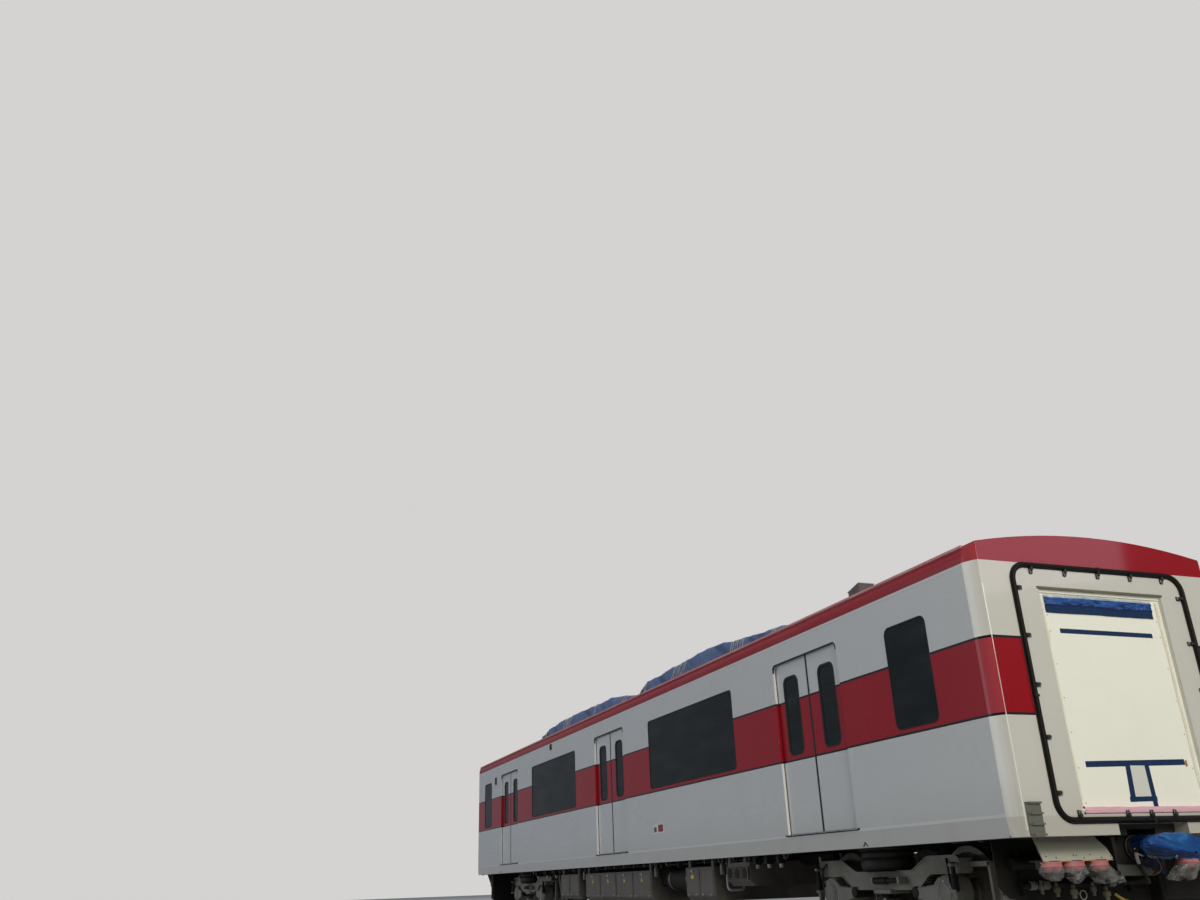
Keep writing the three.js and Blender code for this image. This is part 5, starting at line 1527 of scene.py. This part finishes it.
def tarp_section(name, x, proud, count):
    """Points over the roof across the cover at x, with its folds, hem to hem, and the painted shade each one
    takes in the folds and sags.
    """
    base, top, high = tarp_row(TARPS[name], x)
    seed = TARP_SEEDS[name]
    low = roof_height(base)
    half = [(base + 0.012, low + 0.006), (base - 0.002, low + 0.026),
            (base - 0.012, (low + high) / 2 + 0.012), (top + 0.022, high - 0.036),
            (top - 0.050, high - 0.006), (top * 0.4, high + 0.002), (0.0, high + 0.003)]
    right = [Vector((x, -y, z)) for y, z in half]
    left = [Vector((x, y, z)) for y, z in reversed(half[:-1])]
    made, marks = [], []
    for k, p in enumerate(smooth_line([*right, *left], count)):
        out = p - Vector((x, 0, low))
        out = Vector((0, out.y * 0.8, out.z + 0.15)).normalized()
        edge = min(k, count - 1 - k) / (count - 1)
        side = clamped((abs(p.y) - 0.72) / 0.15)
        slant = ripple(x * 2.1 + p.z * 3.0 + seed, p.y * 2.6, 0.4)
        ridge = 1 - min(1.0, 3.2 * abs(ripple(x * 3.4 + seed + p.z * 6, p.y * 2.8 + x * 1.1, 1.3)))
        small = ripple(x * 11 + p.z * 9, p.y * 8, seed + 2.2)
        sag = side * (0.5 + 0.5 * math.sin(x * 6.1 + 2.5 * slant + p.z * 8 + seed))
        fold = 0.012 * slant + 0.012 * ridge + 0.004 * small - 0.010 * sag
        hem = 0.008 * math.sin(x * 7.3 + seed) * max(0.0, 1 - edge / 0.10)
        slack = min(1.0, edge / 0.05)
        made.append(p + out * (proud + slack * (fold - 0.012)) + Vector((0, math.copysign(hem, p.y), 0)))
        marks.append(clamped(0.35 - 0.5 * ridge - 0.4 * slant + 0.5 * sag))
    return made, marks


def tarpaulin(name):
    """A blue sheet over the roof unit, tied down along its hems."""
    start, stop = TARPS[name][0][0], TARPS[name][-1][0]
    inset = 0.012
    steps = int((stop - start) / 0.040)
    made = [tarp_section(name, start + inset + (stop - start - 2 * inset) * i / steps, 0.0, 81)
            for i in range(steps + 1)]
    rings, depths = [ring for ring, _ in made], [marks for _, marks in made]
    width = sum((b - a).length for a, b in zip(rings[steps // 2], rings[steps // 2][1:]))
    for way in SIGNS:
        edge = rings[0 if way < 0 else -1]
        foot = [Vector((p.x + way * 0.010, p.y * 0.995, 0.65 * roof_height(p.y) + 0.35 * p.z + 0.004))
                for p in edge]
        flat = [Vector((p.x + way * 0.014, p.y * 0.99, roof_height(p.y) + 0.006)) for p in edge]
        shades = [[0.6] * len(edge)] * 2
        rings = [flat, foot, *rings] if way < 0 else [*rings, foot, flat]
        depths = [*shades, *depths] if way < 0 else [*depths, *shades]
    long = stop - start + 0.10
    tarp = crumpled(f"tarpaulin_{name}", rings, depths, "tarp", 0.004, closed=False, uv_size=(long, width))
    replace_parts(tarp, f"roof_cover_{name}")


def roof_ties(name):
    """Short white lashings laced up the sides of the cover, and eyelets along the hems."""
    ropes = Piece(f"roof_ropes_{name}", slot="tarpaulin")
    steps, spacings = 14, 48
    for x, lean in TIES[name]:
        for side in SIGNS:
            path = []
            for k in range(steps + 1):
                climb = math.sin(math.pi * k / steps)
                line, _ = tarp_section(name, x + lean * climb + 0.075 * k / steps, 0.006, spacings + 1)
                spot = (0.045 + 0.135 * climb) * spacings
                near = spot if side < 0 else spacings - spot
                one, two = line[int(near)], line[min(spacings, int(near) + 1)]
                path.append(one.lerp(two, near - int(near)))
            ropes.bar("rope", smooth_line(path, 40), 0.0052, 7)
    ropes.make()
    eyes = []
    start, stop = TARPS[name][0][0], TARPS[name][-1][0]
    inset = 0.12
    count = int((stop - start) / 0.5)
    for i in range(count + 1):
        x = start + inset + (stop - start - 2 * inset) * i / count
        base = tarp_row(TARPS[name], x)[0]
        eyes += [((x, side * (base + 0.006), roof_height(base) + 0.022), (0, side * 0.9, 0.35))
                 for side in SIGNS]
    section = [(0.010, -0.002), (0.020, -0.003), (0.022, 0.0), (0.020, 0.003), (0.010, 0.002),
               (0.010, -0.002)]
    copied(f"tarp_eyelets_{name}", [turned(section, (0, 0, 0), "z", 14)], eyes, "zinc", slot="tarpaulin")


def roof_details():
    """Tie eyes and brackets along the roof, and the small box with its lid and cable."""
    fit = Piece("roof_fittings", slot="roof_red")
    for x in (-5.3, -3.6, -2.4, -1.2, 0.1, 1.2, 2.45, 3.85, 5.3):
        for side in SIGNS:
            y, z = side * 1.16, roof_height(1.16)
            fit.box("zinc", (x - 0.035, y - 0.02, z - 0.010), (x + 0.035, y + 0.02, z + 0.008), 0.003)
            fit.bar("zinc", [(x - 0.018, y, z), (x - 0.018, y, z + 0.026), (x + 0.018, y, z + 0.026),
                             (x + 0.018, y, z)], 0.005, 8, 0.012)
    for x in (-8.6, -6.1, 6.1, 8.6):
        fit.box("roof", (x - 0.02, -1.28, roof_height(0.9) - 0.04),
                (x + 0.02, -1.20, roof_height(1.2) + 0.020))
    cable = [(7.145, -0.90, 3.585), (7.05, -0.90, 3.560), (6.6, -0.90, 3.545), (6.0, -0.92, 3.538),
             (5.66, -0.93, 3.536)]
    fit.bar("dark", cable, 0.012, 8, 0.1)
    fit.make()
    box = Piece("roof_box_shell")
    middle = -0.925
    low = roof_height(0.85) - 0.012
    place = on_side(1, middle)
    body = [(7.141, low), (7.364, low), (7.364, 3.716), (7.141, 3.663)]
    lid = [(7.134, 3.657), (7.371, 3.7135), (7.370, 3.723), (7.133, 3.6665)]
    box.add("case", plate(body, place, 0.104, -0.104, 0.004))
    box.add("zinc", plate(lid, place, 0.109, -0.109))
    hole = [(7.262 + 0.015 * math.cos(t), 3.642 + 0.015 * math.sin(t)) for t in circle(14)]
    box.add("black", plate(hole, place, 0.104, 0.107, 0.0005))
    for x in (7.160, 7.345):
        for side in SIGNS:
            y = middle + side * 0.125
            z = roof_height(y)
            box.box("zinc", (x - 0.02, y - 0.03, z - 0.004), (x + 0.02, y + 0.03, z + 0.009), 0.003)
    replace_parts(box.make(), "roof_box")


# Underfloor

def case_doors(name, low, high, doors, signs=(), outline="triangle"):
    """Doors, hinges, latches and warning signs on both sides of one underfloor case."""
    eased(name, "case", 0.006)
    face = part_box(name)[1].y
    panels = Piece(f"{name}_doors")
    lip = ((-0.006, -0.0098), (-0.003, -0.0135), (0.003, -0.0135), (0.006, -0.0098))
    for side in SIGNS:
        place = on_side(side, face)
        for x0, x1 in doors:
            panels.panel("case", (x0 + 0.012, x1 - 0.012, low + 0.075, high - 0.018), 0.012, place,
                         -0.010, 0.0, 0.003)
            left, right, bottom, top = x0 + 0.045, x1 - 0.045, low + 0.105, high - 0.045
            rim = [(left, bottom), (right, bottom), (right, top), (left, top)]
            panels.add("case", moulding(rim, lip, place))
            for x in (x0 + 0.10, x1 - 0.10):
                panels.box("zinc", place(x - 0.030, low + 0.068, 0.0), place(x + 0.030, low + 0.094, -0.020))
        latch = high - 0.050
        for x in signs:
            panels.box("zinc", place(x - 0.030, latch - 0.024, -0.009),
                       place(x + 0.030, latch + 0.024, -0.016), 0.003)
            panels.bar("pale_pipe", [place(x + a, latch, deep) for a, deep in (
                (-0.034, -0.014), (-0.034, -0.030), (0.034, -0.030), (0.034, -0.014))], 0.007, 8, 0.012)
            spot = latch - 0.072
            sign = [(x - 0.042, spot - 0.034), (x + 0.042, spot - 0.034), (x, spot + 0.036)]
            if outline == "oval":
                sign = [(x + 0.052 * math.cos(t), spot + 0.028 * math.sin(t)) for t in circle(20)]
            panels.add("yellow", plate(sign, place, -0.0112, -0.0095, 0.0003))
    panels.make()


def compressor():
    """Cover plate, three plugs and louvres on both sides of the compressor case."""
    eased("compressor_case", "case", 0.006)
    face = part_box("compressor_case")[1].y
    unit = Piece("compressor_parts")
    for side in SIGNS:
        unit.panel("case", (3.935, 4.525, 0.63, 0.79), 0.012, on_side(side, face), -0.006, 0.0)
        for x in (4.02, 4.23, 4.44):
            unit.spun("dark", [(0.055, -0.012), (0.060, -0.006), (0.060, 0.002)], (x, side * face, 0.71),
                      "y", 22)
    unit.make()
    spots = [((4.23, side * (face + 0.006), 0.645), (0, 0, 1)) for side in SIGNS]
    SLATS.run("compressor_louvres", spots, "dark", Count=9, Step=(0.0, 0.0, 0.0165),
              Size=(0.54, 0.012, 0.005), Lean=(0.5, 0.0, 0.0))


def tank_set():
    """Four air tanks in their straps, with drain plugs, and the valve unit between them."""
    tanks = Piece("air_tank_set")
    radius, height, middle = 0.1485, 0.66, 2.02
    dome = [(0.0, 1.521), (0.05, 1.523), (0.10, 1.533), (0.135, 1.553), (radius, 1.585)]
    rows = dome + [(radius, 1.66), (0.1500, 1.664), (0.1500, 1.676), (radius, 1.680), (radius, 2.36),
                   (0.1500, 2.364), (0.1500, 2.376), (radius, 2.38)]
    rows += [(r, 2 * middle - x) for r, x in reversed(dome)]
    for y in TANKS:
        tanks.spun("dark", rows, (0, y, height), "x", 32, capped=False)
        tanks.spun("zinc", [(0.014, 0.508), (0.014, 0.500), (0.008, 0.496)], (middle, y, 0.01), "z", 10)
    for x in (1.70, 2.34):
        tanks.box("dark", (x - 0.020, -1.27, 0.815), (x + 0.020, 1.27, UNDERSIDE - 0.0005))
        for y in TANKS:
            strap = []
            for t in (math.radians(a) for a in range(-130, 131, 10)):
                side, up = 0.1495 * math.sin(t), -0.1495 * math.cos(t)
                strap.append([(x + a, y + side * share, height + up * share) for a, share in (
                    (-0.017, 1), (0.017, 1), (0.017, 1.03), (-0.017, 1.03))])
            tanks.add("zinc", loft(strap))
    tanks.box("case", (1.58, -0.42, 0.56), (2.46, 0.42, 0.86), 0.02)
    for x in (1.72, 1.90, 2.08, 2.26):
        for tanks.flip in ((1, -1), (1, 1)):
            tanks.spun("dark", [(0.045, 0.40), (0.045, 0.435), (0.03, 0.445), (0.03, 0.460)], (x, 0, 0.70),
                       "y", 18)
    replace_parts(tanks.make(), "air_tanks")


def underfloor():
    """The cases, tanks and pipes under the floor between the bogies."""
    case_doors("battery_case", 0.380, 0.800, ((-3.235, -2.69), (-2.68, -2.135)))
    case_doors("converter_case", 0.360, 0.800,
               ((-1.755, -0.985), (-0.975, -0.205), (-0.195, 0.575), (0.585, 1.345)),
               (-1.37, -0.59, 0.19, 0.96))
    case_doors("brake_case", 0.380, 0.810, ((2.655, 3.115), (3.125, 3.575)), (2.885,), "oval")
    compressor()
    tank_set()
    pipe_runs()


def pipe_runs():
    """Pipes, cable ducts and brackets hung between the cases."""
    pipes = Piece("underfloor_pipes", slot="frame_grey")
    for side in SIGNS:
        pipes.flip = (1, side)
        for y, z, radius, finish in ((1.20, 0.868, 0.017, "dark"), (1.15, 0.872, 0.013, "pale_pipe")):
            pipes.bar(finish, [(-5.3, y, z), (5.3, y, z)], radius, 10, 0.08)
        for y, z, radius, finish in ((0.42, 0.80, 0.025, "dark"), (0.34, 0.81, 0.018, "zinc")):
            for way in SIGNS:
                pipes.flip = (way, side)
                pipes.bar(finish, [(5.22, y, UNDERSIDE), (5.22, y, z), (3.4, y, z)], radius, 10, 0.08)
        pipes.flip = (1, side)
        for x, low in ((1.43, 0.62), (2.57, 0.60), (3.70, 0.55), (3.80, 0.62), (-1.90, 0.60), (-2.02, 0.66)):
            pipes.bar("pale_pipe" if low < 0.6 else "dark", [
                (x, 1.16, 0.90), (x, 1.16, low), (x + 0.05, 1.16, low - 0.04), (x + 0.05, 0.95, low - 0.04),
                (x + 0.05, 0.95, 0.895)], 0.016, 8, 0.04)
        for x in (1.445, 3.745, -1.96):
            pipes.spun("case", [(0.038, 0.70), (0.042, 0.705), (0.042, 0.82), (0.030, 0.845), (0.012, 0.85),
                                (0.012, 0.899)], (x, 1.235, 0), "z", 20)
        for x in (-4.95, -4.3, -3.7, 4.75, 5.05, 5.35):
            pipes.box("dark", (x - 0.035, 1.19, 0.80), (x + 0.035, 1.29, UNDERSIDE + 0.0005), 0.006)
            pipes.spun("zinc", [(0.022, 0.755), (0.026, 0.762), (0.026, 0.80)], (x, 1.24, 0), "z", 14)
        pipes.box("dark", (-5.30, 0.488, 0.803), (5.35, 0.512, UNDERSIDE - 0.0005), 0.003)
        pipes.box("case", (-5.2, 1.03, 0.70), (-4.3, 1.17, 0.80), 0.01)
        for x in (-5.0, -4.5):
            pipes.box("dark", (x - 0.02, 1.08, 0.79), (x + 0.02, 1.12, UNDERSIDE + 0.0005), 0.003)
    pipes.make()
    spots = [((k * 0.45, side * 1.20, UNDERSIDE - 0.0005), (0, 0, -1), (1, 0, 0))
             for side in SIGNS for k in range(-12, 13)]
    clamp = [blocks((-0.016, -0.080, 0.0), (0.016, 0.050, 0.006), 0.002),
             tube([(0, -0.024, 0.0), (0, -0.024, 0.050), (0, 0.024, 0.050), (0, 0.024, 0.0)], 0.006, 6,
                  0.018)]
    copied("pipe_clamps", clamp, spots, "zinc", slot="frame_grey")


# Bogies

def bogie_side(piece, side):
    """One side frame: a box beam low in the middle, with raised ends over the axle boxes."""
    half = [(0.0, 0.500), (0.555, 0.500), (0.60, 0.505), (0.79, 0.628), (0.83, 0.640), (1.255, 0.640),
            (1.285, 0.665), (1.288, 0.765), (1.245, 0.798), (0.80, 0.798), (0.755, 0.785), (0.54, 0.684),
            (0.50, 0.672), (0.0, 0.672)]
    outline = half + [(-x, z) for x, z in reversed(half[1:-1])]
    piece.add("bogie", plate(outline, on_side(side, 0.885), 0.006, 0.164, 0.004))
    upper = [(-x, z) for x, z in half[7:]] + list(reversed(half[7:-1]))
    lower = [(-x, z) for x, z in reversed(half[1:6])] + half[1:6]
    for path in (upper, lower):
        piece.add("bogie", loft([[(x, side * y, z + lift) for y, lift in (
            (0.713, -0.0065), (0.887, -0.0065), (0.887, 0.0065), (0.713, 0.0065))] for x, z in path]))


def axle_box(piece, side, way):
    """Axle box with its guide arm, cap, spring seat and rubber stop."""
    arm = [(way * a, b) for a, b in (
        (0.505, 0.512), (0.54, 0.432), (0.60, 0.405), (0.90, 0.345), (1.00, 0.322), (1.10, 0.318),
        (1.18, 0.355), (1.208, 0.42), (1.208, 0.545), (1.17, 0.598), (1.12, 0.609), (0.95, 0.609),
        (0.90, 0.575), (0.86, 0.538), (0.66, 0.522))]
    if way < 0:
        arm.reverse()
    piece.add("bogie", plate(arm, on_side(side, 0.905), 0.0, 0.208, 0.012))
    piece.spun("bogie", [(0.085, 0.926), (0.098, 0.921), (0.100, 0.912), (0.122, 0.911), (0.128, 0.904),
                         (0.128, 0.895)], (AXLE, 0, AXLE_UP), "y", 32)
    piece.spun("dark", [(0.050, 0.912), (0.056, 0.907), (0.056, 0.700)], (0.56, 0, 0.47), "y", 26)
    piece.spun("bogie", [(0.098, 0.598), (0.104, 0.604), (0.104, 0.618), (0.070, 0.624), (0.070, 0.645)],
               (AXLE, SPRING_SIDE, 0), "z", 26)
    piece.spun("zinc", [(0.020, 0.30), (0.020, 0.325)], (AXLE, SPRING_SIDE, 0), "z", 8)


def bogie_corner(piece):
    """What one corner of a bogie frame carries: cable, damper, guard iron, sand pipe and brake."""
    guard, sand = AXLE + 0.485, AXLE + 0.540
    piece.bar("gasket", [(AXLE + 0.115, 0.902, 0.50), (AXLE + 0.115, 0.925, 0.56),
                         (AXLE + 0.115, 0.925, 0.70), (AXLE + 0.06, 0.89, 0.77)], 0.011, 8, 0.03)
    piece.spun("dark", [(0.030, 0.56), (0.034, 0.565), (0.034, 0.70), (0.022, 0.705), (0.022, 0.800),
                        (0.030, 0.803), (0.030, 0.830)], (AXLE + 0.195, 0.93, -0.09), "z", 18)
    for finish, one, two, chamfer in (
            ("bogie", (AXLE + 0.165, 0.882, 0.700), (AXLE + 0.225, 0.965, 0.728), 0.004),
            ("bogie", (AXLE + 0.150, 0.882, 0.465), (AXLE + 0.225, 0.965, 0.495), 0.004),
            ("bogie", (1.27, 0.70, 0.690), (1.58, 0.76, 0.740), 0.006),
            ("bogie", (guard, 0.70, 0.22), (guard + 0.04, 0.76, 0.735), 0.006),
            ("dark", (0.44, 0.50, 0.44), (0.56, 0.58, 0.56), 0.012),
            ("wheel", (0.56, 0.472, 0.40), (0.593, 0.585, 0.56), 0.008)):
        piece.box(finish, one, two, chamfer)
    piece.bar("pale_pipe", [(sand, 0.68, 0.86), (sand, 0.66, 0.60), (sand - 0.01, 0.60, 0.30),
                            (sand - 0.085, 0.56, 0.12)], 0.017, 10, 0.08)
    piece.spun("dark", [(0.075, 0.30), (0.082, 0.308), (0.082, 0.40), (0.060, 0.415), (0.060, 0.46)],
               (0, 0.62, 0.50), "x", 24)


def bogie_frame(end, middle):
    """The frame with its axle boxes, motors, gear cases, dampers and brakes."""
    piece = Piece(f"bogie_{end}_frame", f"bogie_{end}", "frame_grey", shift=middle)
    for side in SIGNS:
        piece.flip = (1, side)
        bogie_side(piece, side)
        for way in SIGNS:
            piece.flip = (way, side)
            axle_box(piece, side, way)
            bogie_corner(piece)
        piece.flip = (1, side)
        piece.spun("bogie", [(0.31, 0.668), (0.318, 0.671), (0.318, 0.6725)], (0, SPRING_SIDE, 0), "z", 40)
        piece.box("bogie", (-0.16, 0.67, 0.455), (0.16, 0.93, 0.503), 0.012)
        piece.spun("dark", [(0.032, -0.17), (0.036, -0.165), (0.036, 0.06), (0.024, 0.065), (0.024, 0.30)],
                   (0.10, 0.955, 0.585), "x", 18)
        for x in (-0.10, 0.37):
            piece.box("bogie", (x, 0.882, 0.55), (x + 0.04, 0.985, 0.62), 0.006)
    for way in SIGNS:
        piece.flip = (1, 1)
        piece.spun("bogie", [(0.083, -0.735), (0.0845, -0.73), (0.0845, 0.73), (0.083, 0.735)],
                   (way * 0.23, 0, 0.585), "y", 30)
        piece.flip = (way, -way)
        piece.spun("dark", [(0.120, 0.052), (0.135, 0.060), (0.190, 0.075), (0.203, 0.085), (0.203, 0.16),
                            (0.196, 0.165), (0.196, 0.32), (0.203, 0.325), (0.203, 0.40), (0.190, 0.418),
                            (0.130, 0.428)], (0.56, 0, 0.50), "y", 34)
        piece.box("dark", (0.22, 0.13, 0.535), (0.56, 0.35, 0.618), 0.012)
        piece.flip = (way, way)
        piece.spun("case", [(0.235, -0.058), (0.262, -0.048), (0.269, -0.035), (0.269, 0.025), (0.262, 0.038),
                            (0.235, 0.048)], (AXLE, 0, AXLE_UP), "y", 40)
        piece.box("case", (0.56, -0.056, 0.385), (0.98, 0.046, 0.615), 0.02)
    piece.spun("bogie", [(0.0979, 0.508), (0.150, 0.508), (0.158, 0.515), (0.158, 0.652), (0.150, 0.660),
                         (0.0979, 0.660), (0.0979, 0.508)], (0, 0, 0), "z", 36, capped=False)
    for piece.flip in ((-1, 1), (1, 1)):
        piece.box("bogie", (0.13, -0.155, 0.505), (0.325, 0.155, 0.655), 0.012)
    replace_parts(piece.make(), f"bogie_frame_{end}")


def bogie(end, middle):
    """Everything that turns with one bogie frame."""
    bogie_frame(end, middle)
    body = f"bogie_{end}"
    BOLTS.run(f"bogie_{end}_bolts", [
        ((middle + way * AXLE + 0.112 * math.cos(t), side * 0.9105, AXLE_UP + 0.112 * math.sin(t)),
         (0, side, 0))
        for way in SIGNS for side in SIGNS for t in circle(6, 0.5)],
        "zinc", body, "frame_grey", Radius=0.010, Height=0.010)
    COILS.run(f"bogie_{end}_springs", [
        ((middle + way * (AXLE - 0.30), side * SPRING_SIDE, 0.524), (0, 0, 1), (1, 0, 0))
        for way in SIGNS for side in SIGNS],
        "dark", body, "frame_grey", Turns=3.6, Radius=0.062, Height=0.105, Wire=0.012)
    rows = [(0.235, 0.673), (0.262, 0.680), (0.272, 0.695), (0.282, 0.722), (0.288, 0.752), (0.286, 0.782),
            (0.272, 0.806), (0.266, 0.812), (0.274, 0.822), (0.280, 0.845), (0.274, 0.868), (0.262, 0.880),
            (0.286, 0.886), (0.289, 0.890), (0.289, 0.8995)]
    for name, side in SIDES.items():
        spring = Piece(f"air_spring_{end}_{name}_bellows", body, "seal_rubber")
        spring.spun("bellows", rows, (middle, side * SPRING_SIDE, 0), "z", 48)
        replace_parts(spring.make(50), f"air_spring_{end}_{name}")


def wheels():
    """Axles with their wheels: rolled discs, machined treads and flanges."""
    disc = [(0.0842, 0.0), (0.0842, 0.435), (0.110, 0.462), (0.125, 0.485), (0.125, 0.500), (0.150, 0.507),
            (0.240, 0.498), (0.330, 0.500), (0.358, 0.494), (0.365, 0.475), (0.365, 0.464), (0.449, 0.466)]
    rim = [(0.449, 0.466), (0.4565, 0.474), (0.458, 0.479), (0.4555, 0.487), (0.445, 0.495), (0.4345, 0.502),
           (0.4315, 0.510), (0.4300, 0.585), (0.427, 0.5895)]
    face = [(0.427, 0.5895), (0.372, 0.590), (0.365, 0.584), (0.362, 0.560), (0.350, 0.548), (0.240, 0.530),
            (0.150, 0.538), (0.125, 0.546), (0.125, 0.600), (0.118, 0.609), (0.0848, 0.610), (0.0848, 0.688),
            (0.066, 0.6895), (0.0644, 0.692), (0.0644, 0.851), (0.0, 0.851)]
    for end, middle in BOGIES.items():
        for name, way in (("fore", 1), ("aft", -1)):
            wheelset = Piece(f"wheels_{end}_{name}", f"wheelset_{end}_{name}", "wheel_steel")
            centre = (middle + way * AXLE, 0, AXLE_UP)
            for side in SIGNS:
                for rows, finish in ((disc, "wheel"), (rim, "tread"), (face, "wheel")):
                    points, faces = turned([(r, side * y) for r, y in rows], centre, "y", 72)
                    wheelset.add(finish, (points, [corners for corners in faces if len(corners) <= 4]))
            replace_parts(wheelset.make(30, merge=True), f"wheelset_{end}_{name}")


# Saloon

def saloon():
    """What shows through the glass and the open doors: seats, poles, lights and panels."""
    room = Piece("saloon_fittings", slot="body_paint")
    for side in SIGNS:
        room.flip = (1, side)
        for x0, x1 in ((0.92, 5.72), (-5.72, -0.92)):
            for x in (x0 + 0.02, x1 - 0.02):
                room.bar("steel", [(x, 0.92, 1.56), (x, 0.92, 2.02), (x, 1.24, 2.10)], 0.017, 10, 0.10)
            for x in (x0, x1):
                room.bar("steel", [(x, 0.90, 1.42), (x, 0.90, 3.30)], 0.0175, 12)
            room.bar("steel", [(x0, 0.92, 2.94), (x1, 0.92, 2.94)], 0.016)
            room.bar("steel", [(x0, 1.12, 2.86), (x1, 1.12, 2.86)], 0.014, 8)
            room.box("cream", (x0, 1.325, 1.10), (x1, 1.02, 1.385), 0.02)
    for x0, x1 in ((-9.2, -6.0), (-5.4, -0.8), (0.8, 5.4), (6.0, 9.2)):
        for room.flip in ((1, -1), (1, 1)):
            room.box("tube_light", (x0, 0.42, 3.296), (x1, 0.56, 3.329), 0.010)
        room.box("zinc", (x0, -0.12, 3.308), (x1, 0.12, 3.3295), 0.006)
    for x in DOORS:
        room.bar("steel", [(x, 0.0, 1.10), (x, 0.0, 3.325)], 0.0175, 12)
    for x in (-8.4, -7.5, 7.5, 8.4):
        room.bar("steel", [(x, -0.9, 2.94), (x, 0.9, 2.94)], 0.016)
        for y in (-0.9, 0.9):
            room.bar("steel", [(x, y, 2.94), (x, y, 3.30)], 0.012, 8)
    room.make()
    section = ((0.445, 0.128), (0.452, 0.112), (0.440, 0.098), (0.08, 0.112), (0.048, 0.150), (0.005, 0.520),
               (0.020, 0.535), (0.048, 0.520), (0.082, 0.180), (0.110, 0.145), (0.40, 0.140))
    rows = []
    for share in (-1.0, -0.93, -0.55, 0.0, 0.55, 0.93, 1.0):
        dip = 0.014 * (1 - share * share) if abs(share) < 0.93 else -0.002
        rim = 0.985 if abs(share) == 1.0 else 1.0
        rows.append([(0.222 * share, -y * rim, z - (dip if z > 0.10 and y > 0.05 else 0.0))
                     for y, z in section])
    seats, seat_pitch, straps_on_rail, strap_pitch = 10, 0.484, 11, 0.44
    spots = [((x + k * seat_pitch, side * 1.318, 1.412), (0, 0, 1), (side, 0, 0))
             for side in SIGNS for x in (1.142, -5.498) for k in range(seats)]
    copied("seat_shells", [loft(rows)], spots, "cushion", slot="bench_moulding", sharp=50)
    straps = [((x + k * strap_pitch, side * 0.92, 2.924), (0, 0, 1), (0, side, 0))
              for side in SIGNS for x in (1.1, -5.5) for k in range(straps_on_rail)]
    strap = [blocks((-0.003, -0.014, -0.190), (0.003, 0.014, 0.0), 0.001),
             turned([(0.050, -0.006), (0.056, -0.004), (0.058, 0.0), (0.056, 0.004), (0.050, 0.006),
                     (0.046, 0.0), (0.050, -0.006)], (0, 0, -0.240), "x", 20)]
    copied("hand_straps", strap, straps, "pale_pipe", slot="bench_moulding")


# The whole car

shell()
for side_name, side_sign in SIDES.items():
    window_trim(side_name, side_sign)
    door_trim(side_name, side_sign)
    side_fittings(side_name, side_sign)
    for leaf in (1, 2, 3):
        leaf_trim(leaf, side_name, side_sign, "fore", 1)
        leaf_trim(leaf, side_name, side_sign, "aft", -1)
for end_name, end_way in ENDS.items():
    end_frame(end_name, end_way)
    packed_doorway(end_name, end_way)
    drawbar(end_name, end_way)
    wrapped_coupler(end_name, end_way)
    cable_sockets(end_name, end_way)
    end_pipes(end_name, end_way)
    brake_hose(end_name, end_way)
    bogie(end_name, BOGIES[end_name])
for end_name in ENDS:
    tarpaulin(end_name)
for end_name in ENDS:
    roof_ties(end_name)
roof_details()
underfloor()
wheels()
saloon()


# Stage

def studio():
    """A pale floor, a pale surround, and soft light that is stronger and warmer from the front end."""
    mesh = bpy.data.meshes.new("floor")
    mesh.from_pydata([(-60, -60, 0), (60, -60, 0), (60, 60, 0), (-60, 60, 0)], [], [(0, 1, 2, 3)])
    ground = Finish("studio_floor", roughness=1.0, specular_ior_level=0.05)
    near = ground.blend(ground.cloud(0.15, 2), (0.42, 0.42, 0.41), (0.47, 0.47, 0.46))
    away = (ground.x * ground.x + ground.y * ground.y).rise(250, 1600)
    mesh.materials.append(ground.wear(colour=ground.blend(away, near, (0.97, 0.96, 0.95))))
    linked("floor", mesh)
    for name, place, aim, power, wide, high, colour in (
            ("front_light", (36, -5, 15), (8, 0, 2), 5300, 16, 16, (1.0, 0.968, 0.835)),
            ("top_light", (0, 6, 30), (0, 0, 3), 2600, 26, 26, (1.0, 0.98, 0.95)),
            ("side_light", (-15, -34, 11), (-5, 0, 2), 2650, 14, 22, (0.88, 0.935, 1.0)),
            ("back_light", (-26, 24, 14), (-4, 0, 2), 1800, 18, 18, (0.95, 0.97, 1.0)),
            ("end_card", (34, 19, 17), (9.75, 0, 3), 700, 12.2, 13, (0.97, 0.84, 1.0))):
        lamp = bpy.data.lights.new(name, "AREA")
        lamp.energy, lamp.color = power, colour
        lamp.shape, lamp.size, lamp.size_y = "RECTANGLE", wide, high
        holder = linked(name, lamp)
        holder.location = place
        holder.rotation_euler = (Vector(aim) - Vector(place)).to_track_quat("-Z", "Y").to_euler()
    world = bpy.data.worlds.new("studio")
    world.use_nodes = True
    bpy.context.scene.world = world
    sky = Tree(world.node_tree)
    seen = sky.node("ShaderNodeLightPath").outputs["Is Camera Ray"]
    shade = sky.node("ShaderNodeMix", {"data_type": "RGBA"},
                     {0: seen, 6: (0.135, 0.148, 0.165, 1), 7: (0.66, 0.65, 0.64, 1)})
    sky.put(world.node_tree.nodes["Background"].inputs[0], shade.outputs[2])
    bpy.context.scene.view_settings.view_transform = "Standard"


studio()
